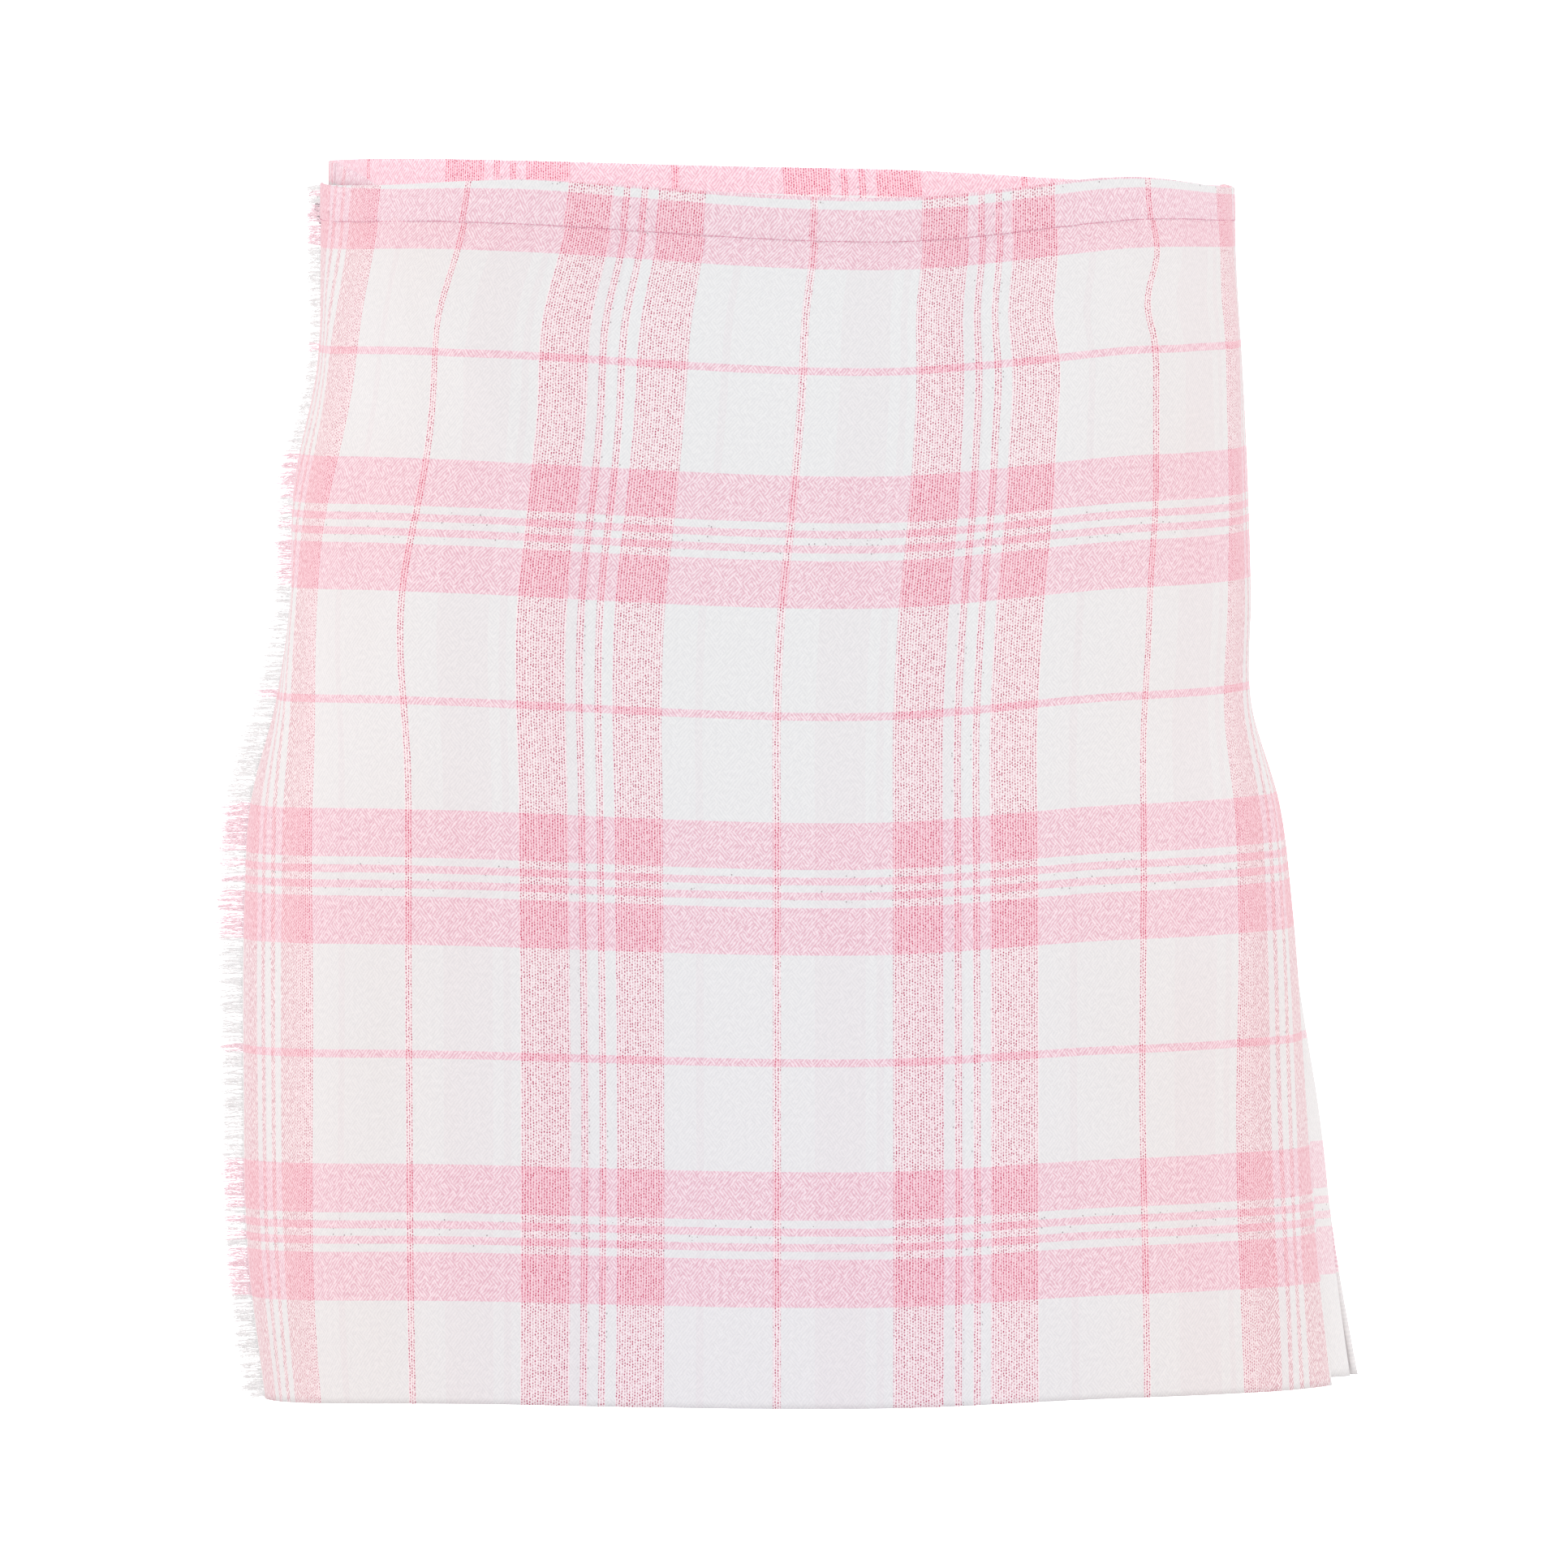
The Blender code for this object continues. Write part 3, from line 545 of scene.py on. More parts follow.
def front_lift(across, z):
    """How much higher than on the solid the front hangs: its sides are drawn up to the hips."""
    down = BAND_TOP - z
    right, left, middle = (smooth(LIFTS, LIFT_COLUMNS.index(name), down) for name in LIFT_COLUMNS[1:])
    start, reach, lost = LIFT_FADES_RIGHT
    to_right = (ease_in_out((LIFT_LOWEST - across) / LIFT_REACH[0])
                * (1 - lost * ease_in_out((-across - start) / reach)))
    start, reach, lost = LIFT_FADES_LEFT
    near_top = np.exp(-np.clip(down, 0, None) / LIFT_FADES_LEFT_ABOVE)
    to_left = (ease_in_out((across - LIFT_LOWEST) / LIFT_REACH[1])
               * (1 - lost * ease_in_out((across - start) / reach) * near_top))
    return middle + right * to_right + left * to_left


def spread_to_sides(start, end, count, even=0.6):
    """Values from start to end that draw together at both ends, where the hips turn."""
    t = np.linspace(-1.0, 1.0, count)
    return (start + end) / 2 + (end - start) / 2 * (even * t + (1 - even) * np.sin(t * math.pi / 2))


TOP_EDGE = BAND_FOOT + 4.0 * MM  # every panel's raw top edge is held inside the folded band

share = np.linspace(0.0, 1.0, APRON_ROWS)[:, None]
z = TOP_EDGE + (HEM - TOP_EDGE) * share
radius = layer_pitch(z) / 2
across = spread_to_sides(APRON_FRINGE, APRON_FOLD, APRON_COLUMNS)[None, :]
front_along = np.minimum(place(across, z), fold(z) - radius)
arc = np.linspace(0.0, math.pi, FOLD_POINTS)[None, 1:-1]
arc_along = fold(z) - radius + radius * np.sin(arc)
arc_depth = OUTER_DEPTH + radius - radius * np.cos(arc)
turned = np.linspace(0.0, TURN_UNDER, TURNED_COLUMNS)[None, :]
turned_along = fold(z) - radius - turned
along = np.concatenate([front_along, arc_along, turned_along], 1)
depth = np.concatenate([np.full_like(front_along, OUTER_DEPTH), arc_depth,
                        OUTER_DEPTH + 2 * radius + 0 * turned_along], 1)
u = np.concatenate([np.broadcast_to(across, front_along.shape), APRON_FOLD + 0 * arc_along,
                    APRON_FOLD + np.broadcast_to(turned, turned_along.shape)], 1)
height = z - share ** 2 * sag(along, z) + front_lift(np.minimum(u, APRON_FOLD), z)
stand = soft_folds(MAIN_FOLDS, along, height) + soft_folds(FINE_FOLDS, along, height)
stand += pucker(along, z)
apron_points = form.points(along * form.girth_at(height) / form.girth_at(z), height, depth - stand)
apron_cloth = np.stack([u - sideways(along, height), np.broadcast_to(cloth_down(z), u.shape)], -1)
apron = grid_piece("outer_apron_cloth", apron_points, apron_cloth, APRON_WALL)
print("outer apron cut", round((APRON_FOLD - APRON_FRINGE + TURN_UNDER) * 1000), "x",
      round((TOP_EDGE - HEM) * 1000), "mm, area", round(cloth_area(apron_points), 4), "m2")

# %% [markdown]
# ## The pleated back
#
# Behind, the cloth lies in knife pleats. Each pleat's face slopes in by two layers over its own
# width, so the next fold, its return and its hidden part lie on each other like shingles. The folds
# are pressed sharp at the waist and open a little at the hem, no two alike. One path of points
# at every height goes over each face, round the hidden fold, back, and round the next outer fold.
# %% Pleats
PLEATS = 18
PLEAT_FAN = 0.10                # uneven spacing at the hem, as a share of a pleat
PLEAT_FAN_TURN = 2.4            # radians from one pleat to the next in that unevenness
FACE_POINTS = 9
HIDDEN_POINTS = 4
LEAD_POINTS = 8                 # points across the part that lies under the front's fold
ROUND_FOLD = (0.25, 0.5, 0.75)  # points round a fold, as shares of its half turn
BACK_ROWS = 121
TUCK_SLACK = 1.2 * MM
TUCK_LEFT_HIP = (2.0 * MM, 24.0 * MM)
TUCK_RIGHT_HIP = (34.0 * MM, 62.0 * MM)
PLEAT_LIFT = 2.2 * MM           # how far a pleat's fold stands off at the hem, at most
PLEAT_LEAST_LIFT = 0.15         # as a share of that
PLEAT_LIFT_REACH = 9.0 * MM
HIP_FLARE = 3.6 * MM            # the pleats next to the left hip spring out behind the apron's fold
HIP_FLARE_AT = 16.0 * MM
HIP_FLARE_HEIGHT = -365.0 * MM
HIP_FLARE_LENGTH = 60.0 * MM
HIP_FLARE_WIDTH = 22.0 * MM
PLEATS_REACH_UP = 0.4 * MM      # so many layers don't fit into the band, so they end just in its foot
# The columns: share of the way round the back, rise at the top, rise at the hem.
BACK_RISE = (
    (0.00, -0.0022, 0.0066),
    (0.12, -0.0042, 0.0052),
    (0.22, -0.0036, 0.0054),
    (0.34, -0.0019, 0.0057),
    (0.50, -0.0006, 0.0060),
    (0.85, 0.0060, 0.0072),
    (1.00, 0.0090, 0.0080),
)


def back_base(z, along):
    """Depth of the pleats' outermost layer: tucked in at both hips, standing out between them."""
    free = OUTER_DEPTH - SWELL_HEM * swell_share(z)
    left = ease_in_out((along - fold(z) - TUCK_LEFT_HIP[0]) / (TUCK_LEFT_HIP[1] - TUCK_LEFT_HIP[0]))
    right = ease_in_out((fringe_root(z) - along - TUCK_RIGHT_HIP[0])
                        / (TUCK_RIGHT_HIP[1] - TUCK_RIGHT_HIP[0]))
    tucked = OUTER_DEPTH + 2 * layer_pitch(z) + TUCK_SLACK
    depth = free + (tucked - free) * (1 - left)
    return depth + (HIP_DEPTH - depth) * (1 - right)


def back_rise(z, along, column):
    return smooth(BACK_RISE, column, (along - fold(z)) / (fringe_root(z) - fold(z)))


pleat_rng = np.random.default_rng(11)
share = np.linspace(0.0, 1.0, BACK_ROWS)[:, None]
pleat_top = BAND_FOOT + PLEATS_REACH_UP
z = pleat_top + (HEM - pleat_top) * share
layer = layer_pitch(z)
first, end = fold(z), fringe_root(z) + SIDE_SEAM
pitch = (end - first) / PLEATS
loose = share ** 2 * PLEAT_FAN
starts = [first + pitch * (i + loose * math.sin(PLEAT_FAN_TURN * i)) for i in range(PLEATS)] + [end]
lifts = pleat_rng.uniform(PLEAT_LEAST_LIFT, 1.0, PLEATS + 1) * PLEAT_LIFT


def pleat_depth(i, along):
    lift = lifts[i] * share ** 3 * np.exp(-np.abs(along - starts[i]) / PLEAT_LIFT_REACH)
    flare = (HIP_FLARE * np.exp(-((z - HIP_FLARE_HEIGHT) / HIP_FLARE_LENGTH) ** 2)
             * np.exp(-((along - first - HIP_FLARE_AT) / HIP_FLARE_WIDTH) ** 2))
    return back_base(z, along) + 2 * layer * (along - starts[i]) / pitch - lift - flare


columns = []                    # each is (along, depth, cloth across)


def add_stretch(along, depth, across):
    columns.append((along, depth, across + 0 * along))


def cloth_at(along):
    """The pleats are laid so that the tartan runs on from pleat to pleat."""
    return APRON_FOLD + (along - first) / section("ease", z)


for t in np.linspace(0.0, 1.0, LEAD_POINTS)[:-1]:
    at = first - TURN_UNDER * (1 - t)
    add_stretch(at, back_base(z, first) + 0 * at, cloth_at(at))
for i in range(PLEATS):
    for t in np.linspace(0.0, 1.0, FACE_POINTS)[(1 if i else 0):]:
        at = starts[i] + (starts[i + 1] - starts[i]) * t
        add_stretch(at, pleat_depth(i, at), cloth_at(at))
    if i == PLEATS - 1:
        break
    hidden = (starts[i + 2] - starts[i + 1]) / 2
    bend = starts[i + 1] + hidden
    for t in np.linspace(0.0, 1.0, HIDDEN_POINTS)[1:]:
        at = starts[i + 1] + hidden * t
        add_stretch(at, pleat_depth(i, at), cloth_at(at))
    deep, shallow = pleat_depth(i, bend), pleat_depth(i + 1, bend) + layer
    middle, half_gap = (deep + shallow) / 2, (deep - shallow) / 2
    for a in ROUND_FOLD:
        at = bend + half_gap * math.sin(a * math.pi)
        add_stretch(at, middle + half_gap * math.cos(a * math.pi), cloth_at(bend))
    for t in np.linspace(1.0, 0.0, HIDDEN_POINTS):
        at = starts[i + 1] + hidden * t
        add_stretch(at, pleat_depth(i + 1, at) + layer, cloth_at(starts[i + 1] - hidden * t))
    start = starts[i + 1]
    outer = pleat_depth(i + 1, start)
    for a in ROUND_FOLD:
        at = start - layer / 2 * math.sin(a * math.pi)
        add_stretch(at, outer + layer / 2 + layer / 2 * math.cos(a * math.pi), cloth_at(start))

along, depth, u = (np.concatenate([column[k] for column in columns], 1) for k in range(3))
height = z + back_rise(z, along, 1) * (1 - share) + back_rise(z, along, 2) * share
back_points = form.points(along * form.girth_at(height) / form.girth_at(z), height, depth)
back_cloth = np.stack([u, np.broadcast_to(cloth_down(z), u.shape)], -1)
back = grid_piece("pleated_back_cloth", back_points, back_cloth, PLEAT_WALL)
back_length = cloth_area(back_points) / float(z[0, 0] - z[-1, 0])
print("pleated back: mean cloth round the pleats", round(back_length, 3), "m, area",
      round(cloth_area(back_points), 4), "m2")

# %% [markdown]
# ## The under apron
#
# The inner front panel is joined to the last pleat and ends in a plain edge near the left hip. It
# hardly shows: a strip over the front's waistband, and its inside from below.
# %% Under apron
UNDER_DIP = -2.0 * MM
UNDER_DIP_LENGTH = 60.0 * MM
UNDER_ROWS = 91
UNDER_COLUMNS = 130
UNDER_CLOTH_SHIFT = 30.0 * MM   # its stripes don't lie exactly behind the outer apron's


def under_start(z):
    return fringe_root(z) - form.girth_at(z) + SIDE_SEAM + SEAM


def under_rise(from_seam):
    at_seam = BACK_RISE[-1][1]
    return at_seam + (UNDER_DIP - at_seam) * ease_in_out(from_seam / UNDER_DIP_LENGTH)


share = np.linspace(0.0, 1.0, UNDER_ROWS)[:, None]
z = TOP_EDGE + (HEM - TOP_EDGE) * share
t = spread_to_sides(0.0, 1.0, UNDER_COLUMNS)[None, :]
start = under_start(z)
along = start + (place(UNDER_END, z) - start) * t
at_seam = HIP_DEPTH + 2 * layer_pitch(z)
depth = at_seam + (INNER_DEPTH - at_seam) * ease_in_out((along - start) / UNDER_DIP_LENGTH)
height = z + under_rise(along - start) * (1 - share) + BACK_RISE[-1][2] * share
depth = depth - soft_folds(MAIN_FOLDS, along, height)
under_points = form.points(along * form.girth_at(height) / form.girth_at(z), height, depth)
under_cloth = np.stack([(along - section("drift", z)) / section("ease", z) + UNDER_CLOTH_SHIFT,
                        np.broadcast_to(cloth_down(z), along.shape)], -1)
under = grid_piece("under_apron_cloth", under_points, under_cloth, APRON_WALL)
print("under apron area", round(cloth_area(under_points), 4), "m2")

# %% [markdown]
# ## The waistband
#
# The band is a strip folded over the top of the cloth, so it has an outer face, a soft round top and
# an inner face. Its stripes nearly match the panel's, as they would when a sewer lines them up by
# eye. A row of darker machine stitches holds it down along its lower edge.
# %% Bands
BAND_ROWS_FACE = (0.0, 0.07, 0.28, 0.52, 0.76)          # shares of a face's height
BAND_CROWN_POINTS = 7
BAND_FOOT_PRESSED = 0.30 * MM   # the sewn edge is pulled down onto the cloth
BAND_COLUMNS = 240
BAND_CLOTH = 0.5 * MM
BAND_DOWN_SHIFT = 2.05 * MM     # where in the sett the front strip's top edge lies
BAND_BOW = 1.6 * MM             # how much further down in the sett it lies this far to the side
BAND_BOW_AT = 150.0 * MM
BAND_BOW_LEFT = 0.4             # and this share of it on the left
BACK_BAND_DOWN_SHIFT = 16.5 * MM
BACK_LINE = 39.6 * MM           # a single line of the back's strip lies this far past the middle
BAND_ACROSS_SHIFT = 1.0 * MM
BAND_TALLER = 1.6 * MM          # the front strip is folded a little deeper in the middle
BAND_LOWER = 1.5 * MM           # and shallower at both ends
BAND_LOWERS = (110.0 * MM, 80.0 * MM)                   # from here, over this far
BAND_RIPPLE = 0.10 * MM
BAND_RIPPLE_WAVE = 3.1 * MM
BAND_RIPPLE_DRIFT = (2.0, 17.0 * MM)


def band_profile():
    """(depth from the band's middle, height, distance along the strip) over the fold."""
    half_wall = (BAND_WALL - BAND_CLOTH) / 2
    profile = []
    crown = BAND_TOP - half_wall
    for t in BAND_ROWS_FACE:
        pressed = 0.0 if t else BAND_FOOT_PRESSED
        profile.append((pressed - half_wall, BAND_FOOT + (crown - BAND_FOOT) * t))
    for a in np.linspace(0.0, math.pi, BAND_CROWN_POINTS):
        profile.append((-half_wall * math.cos(a), crown + half_wall * math.sin(a)))
    for t in BAND_ROWS_FACE[::-1]:
        profile.append((half_wall, BAND_FOOT + (crown - BAND_FOOT) * t))
    walked = 0.0
    rows = []
    for k, (out, up) in enumerate(profile):
        if k:
            walked += math.hypot(out - profile[k - 1][0], up - profile[k - 1][1])
        rows.append((out, up, walked))
    return np.array(rows)


BAND_PROFILE = band_profile()
BAND_STRIP = float(BAND_PROFILE[-1, 2])


def band(name, along, middle_depth, rise, u, v_shift):
    """A folded strip along the ring. The arrays along, middle_depth, rise and u are for its length."""
    out, up, walked = (BAND_PROFILE[:, k][:, None] for k in range(3))
    z = up + rise
    drift, drift_wave = BAND_RIPPLE_DRIFT
    ripple = BAND_RIPPLE * np.sin(along / BAND_RIPPLE_WAVE + drift * np.sin(along / drift_wave))
    stand = ripple * np.clip((BAND_TOP - up) / (BAND_TOP - BAND_FOOT), 0, 1)
    stand = stand + soft_folds(MAIN_FOLDS, along, z)
    points = form.points(along * form.girth_at(z) / form.girth_at(up), z, middle_depth + out - stand)
    down = BAND_TOP - (BAND_FOOT + walked) + v_shift
    cloth = np.stack(np.broadcast_arrays(u - sideways(along, z), down), -1)
    print(name, "strip", round(cloth_area(points) / BAND_STRIP, 4), "x", round(BAND_STRIP, 4), "m")
    return grid_piece(name, points, cloth, BAND_CLOTH)


up = BAND_PROFILE[:, 1][:, None]
across = spread_to_sides(APRON_FRINGE, APRON_FOLD, BAND_COLUMNS)[None, :]
bow = BAND_BOW * (across / BAND_BOW_AT) ** 2 * np.where(across < 0, 1.0, BAND_BOW_LEFT)


def front_band_rise(across, up):
    """The front strip's own height on top of the front's lift."""
    to_end = ease_in_out((np.abs(across) - BAND_LOWERS[0]) / BAND_LOWERS[1])
    taller = BAND_TALLER - (BAND_TALLER + BAND_LOWER) * to_end
    return front_lift(across, up) + taller * (up - BAND_FOOT) / (BAND_TOP - BAND_FOOT)


front_band = band("waistband_front_cloth", place(across, up), OUTER_DEPTH, front_band_rise(across, up),
                  across + BAND_ACROSS_SHIFT, BAND_DOWN_SHIFT + bow)


def back_band_depth(along, z):
    """The back strip's middle: over the front's fold at its start, then on the pleats."""
    return np.where(along < fold(z) + TUCK_LEFT_HIP[1], OUTER_DEPTH,
                    np.minimum(back_base(np.full_like(z, BAND_FOOT), along), HIP_DEPTH))


def back_band_cloth(along):
    return (along - form.girth_at(up) / 2 - BACK_LINE) / section("ease", up)


t = np.linspace(0.0, 1.0, BAND_COLUMNS)[None, :]
along = fold(up) + SEAM + (fringe_root(up) + SIDE_SEAM - fold(up) - SEAM) * t
back_band = band("waistband_back_cloth", along, back_band_depth(along, up), back_rise(up, along, 1),
                 back_band_cloth(along), BACK_BAND_DOWN_SHIFT)

t = spread_to_sides(0.0, 1.0, BAND_COLUMNS)[None, :]
start = under_start(up)
along = start + (place(UNDER_END, up) - start) * t
depth = HIP_DEPTH + (INNER_DEPTH - HIP_DEPTH) * ease_in_out((along - start) / UNDER_DIP_LENGTH)
under_band = band("waistband_under_cloth", along, depth, under_rise(along - start),
                  back_band_cloth(along), BACK_BAND_DOWN_SHIFT)

# %% [markdown]
# ## Many small pieces in one mesh
#
# Fringe threads and stitches are the same shape repeated thousands of times: a thin tube along a few
# points. One function turns an array of such lines into one mesh, which is much faster than one
# object for each.
# %% Tubes
def tubes(name, lines, radii, sides, cloth=None, smooth_sides=True):
    """Thin tubes along lines of shape (count, points, 3). radii is (count, points)."""
    count, length = lines.shape[:2]
    ahead = np.gradient(lines, axis=1)
    ahead /= np.linalg.norm(ahead, axis=-1, keepdims=True) + 1e-12
    guide = np.where(np.abs(ahead[..., 2:3]) < 0.9, np.array([0.0, 0.0, 1.0]), np.array([1.0, 0.0, 0.0]))
    side = np.cross(ahead, guide)
    side /= np.linalg.norm(side, axis=-1, keepdims=True)
    lift = np.cross(ahead, side)
    angles = np.arange(sides) * 2 * math.pi / sides
    ring = (side[:, :, None] * np.cos(angles)[None, None, :, None]
            + lift[:, :, None] * np.sin(angles)[None, None, :, None])
    points = lines[:, :, None] + ring * radii[:, :, None, None]
    index = np.arange(count * length * sides).reshape(count, length, sides)
    a, b = index[:, :-1], index[:, 1:]
    faces = np.stack([a, np.roll(a, -1, 2), np.roll(b, -1, 2), b], -1).reshape(-1, 4)
    caps = np.concatenate([index[:, 0, ::-1], index[:, -1]])
    sizes = np.concatenate([np.full(len(faces), 4), np.full(len(caps), sides)])
    corners = np.concatenate([faces.reshape(-1), caps.reshape(-1)])
    if cloth is not None:
        cloth = np.repeat(cloth[:, :, None, :], sides, 2)
    return new_piece(name, points, corners, sizes, cloth, smooth_sides)


# %% [markdown]
# ## The fringe
#
# Along the free edge the warp threads have been pulled out for about a centimetre, which leaves the
# weft threads loose. They keep their own colour, so the fringe is pink where a weft stripe ends and
# cream elsewhere. They lie in a soft comb, cling in small locks, and a few wander off.
# %% Fringe threads
FRINGE_THREADS = 5600
FRINGE_LENGTH = 9.5 * MM        # along the ring
FRINGE_SPLAY = 8.0 * MM         # and out from it
FRINGE_THREAD = 0.115 * MM      # radius
THREAD_RADII = (0.75, 1.15)     # from thread to thread, as shares of that
THREAD_TAPER = 0.35
THREAD_SIDES = 3
SPLAY_CURVE, LEAN_CURVE = 1.15, 1.5     # over 1, a thread bends away more and more towards its end
FRINGE_POINTS = 6
LOCKS = 420                     # threads that cling together share a lean
LOCK_LEAN = 0.40 * MM
THREAD_LEAN = 0.35 * MM
LOCK_LENGTH = (0.92, 0.12)      # at least this share of the full length, and up to this much more
THREAD_LENGTH = (0.86, 1.04)
LOCK_SPLAY = (0.90, 0.14)
THREAD_SPLAY = (0.72, 1.08)
WANDERERS = 0.03                # the share of threads that wander off, and how much further
WANDER_LEAN, WANDER_LENGTH, WANDER_SPLAY = 3.5, 1.08, 1.25
THREAD_WAVE = 0.16 * MM
THREAD_WAVE_TURNS = (5, 9)      # radians along a thread
THREAD_DROOP = 0.8 * MM
ROOT_INSIDE = 0.8 * MM
ROOT_SPREAD = 0.4 * MM
FRINGE_BELOW_TOP = 0.6 * MM
FRINGE_ABOVE_HEM = 0.5 * MM
ENDS_ABOVE_SAG = 1.6 * MM       # threads that would hang below this are drawn up
BELOW_LOWEST = 0.15             # to this share of how far they would hang
ENDS_ABOVE_TOP = 0.8 * MM
PROBE = 1.0 * MM                # a step along and out, which finds the two directions there
# The columns: distance below the top, how full the fringe is.
FRINGE_FULLNESS = ((0.000, 0.75), (0.060, 0.80), (0.120, 1.20), (0.260, 1.30), (0.330, 1.05), (0.462, 1.00))

rng = np.random.default_rng(5)
top_z = BAND_TOP - FRINGE_BELOW_TOP
root_z = np.sort(rng.uniform(HEM + FRINGE_ABOVE_HEM, top_z, FRINGE_THREADS))
lock = ((top_z - root_z) / (top_z - HEM) * LOCKS).astype(int)
lean = rng.normal(0.0, LOCK_LEAN, LOCKS + 1)[lock] + rng.normal(0.0, THREAD_LEAN, FRINGE_THREADS)
full = smooth(FRINGE_FULLNESS, 1, BAND_TOP - root_z)


def uneven_lengths(size, of_lock, of_thread):
    """A length for every thread, which its lock and the thread itself change a little."""
    shares = of_lock[0] + of_lock[1] * rng.random(LOCKS + 1)[lock]
    return full * size * shares * rng.uniform(*of_thread, FRINGE_THREADS)


length = uneven_lengths(FRINGE_LENGTH, LOCK_LENGTH, THREAD_LENGTH)
splay = uneven_lengths(FRINGE_SPLAY, LOCK_SPLAY, THREAD_SPLAY)
wanders = rng.random(FRINGE_THREADS) < WANDERERS
lean[wanders] *= WANDER_LEAN
length[wanders] *= WANDER_LENGTH
splay[wanders] *= WANDER_SPLAY
t = np.linspace(0.0, 1.0, FRINGE_POINTS)[None, :]
wave = (rng.normal(0.0, THREAD_WAVE, (FRINGE_THREADS, 1))
        * np.sin(t * rng.uniform(*THREAD_WAVE_TURNS, (FRINGE_THREADS, 1))))
share = ((BAND_FOOT - root_z) / (BAND_FOOT - HEM)).clip(0, 1)
root_along = place(APRON_FRINGE, root_z) + ROOT_INSIDE
root_depth = OUTER_DEPTH + rng.uniform(-ROOT_SPREAD, ROOT_SPREAD, FRINGE_THREADS)
root_depth -= soft_folds(MAIN_FOLDS, root_along, root_z) + soft_folds(FINE_FOLDS, root_along, root_z)
root = form.points(root_along, root_z, root_depth)
ahead = (form.points(root_along - PROBE, root_z, root_depth) - root) / PROBE
outward = (form.points(root_along, root_z, root_depth - PROBE) - root) / PROBE
thread_points = (root[:, None] + ahead[:, None] * (length[:, None] * t)[..., None]
                 + outward[:, None] * (splay[:, None] * t ** SPLAY_CURVE)[..., None])
rise = front_lift(APRON_FRINGE, root_z) - share ** 2 * FRINGE_SAG
rise += np.where(root_z > BAND_FOOT, (root_z - BAND_FOOT) / (BAND_TOP - BAND_FOOT) * -BAND_LOWER, 0.0)
thread_z = (root_z + rise)[:, None] + lean[:, None] * t ** LEAN_CURVE + wave - THREAD_DROOP * t ** 2
lowest = HEM - FRINGE_SAG + ENDS_ABOVE_SAG
drawn_up = lowest + (thread_z - lowest) * BELOW_LOWEST
thread_points[..., 2] = np.clip(thread_z, drawn_up, BAND_TOP + ENDS_ABOVE_TOP)
thread_cloth = np.stack(np.broadcast_arrays(APRON_FRINGE - length[:, None] * t,
                                            cloth_down(root_z)[:, None]), -1)
radii = FRINGE_THREAD * rng.uniform(*THREAD_RADII, (FRINGE_THREADS, 1)) * (1.0 - THREAD_TAPER * t)
fringe = tubes("fringe_threads", thread_points, radii, THREAD_SIDES, thread_cloth, smooth_sides=False)

# %% [markdown]
# ## Stitches
#
# A lockstitch shows as a row of short bars that dip into the cloth at both ends. Each bar here is a
# small tube, thickest in its middle.
# %% Band stitches
STITCH = 2.5 * MM
STITCH_THREAD = 0.12 * MM
STITCH_UP = 0.35 * MM           # above the band's lower edge
STITCH_DEPTH = 0.46 * MM        # outside the middle of the band's wall
STITCH_BULGE = 0.16 * MM
STITCH_PLACES = (0.06, 0.2, 0.5, 0.8, 0.94)             # shares of a stitch's length
STITCH_THINNEST = 0.45          # a stitch's end, as a share of its middle
STITCH_SIDES = 5
FRONT_STITCHES_INSET = 1.0 * MM
BACK_STITCHES_PAST = (2.0 * MM, 10.0 * MM)              # past the front's fold, past the fringe's root


def stitches(name, along, z, depth):
    """A row of stitches between neighbouring places of the arrays along, z and depth."""
    t = np.array(STITCH_PLACES)[None, :]
    bulge = np.sin(np.linspace(0.0, math.pi, len(STITCH_PLACES)))[None, :]
    a, h, d = (values[:-1, None] + np.diff(values)[:, None] * t for values in (along, z, depth))
    d -= STITCH_BULGE * bulge
    lines = form.points(a, h, d - soft_folds(MAIN_FOLDS, a, h))
    thread = STITCH_THREAD * (STITCH_THINNEST + (1 - STITCH_THINNEST) * bulge)
    return tubes(name, lines, thread + 0 * a, STITCH_SIDES)


def every_stitch(start, end):
    return np.linspace(start, end, int(round((end - start) / STITCH)) + 1)


seam_z = BAND_FOOT + STITCH_UP
across = every_stitch(APRON_FRINGE + FRONT_STITCHES_INSET, APRON_FOLD - FRONT_STITCHES_INSET)
along = place(across, seam_z)
z = seam_z + front_band_rise(across, seam_z)
front_stitches = stitches("waistband_front_stitches", along * form.girth_at(z) / form.girth_at(seam_z), z,
                          np.full_like(along, OUTER_DEPTH - STITCH_DEPTH))
along = every_stitch(float(fold(seam_z)) + BACK_STITCHES_PAST[0],
                     float(fringe_root(seam_z)) + BACK_STITCHES_PAST[1])
z = np.full_like(along, seam_z)
rise = back_rise(z, along, 1)
back_stitches = stitches("waistband_back_stitches", along * form.girth_at(z + rise) / form.girth_at(z),
                         z + rise, back_band_depth(along, z) - STITCH_DEPTH)

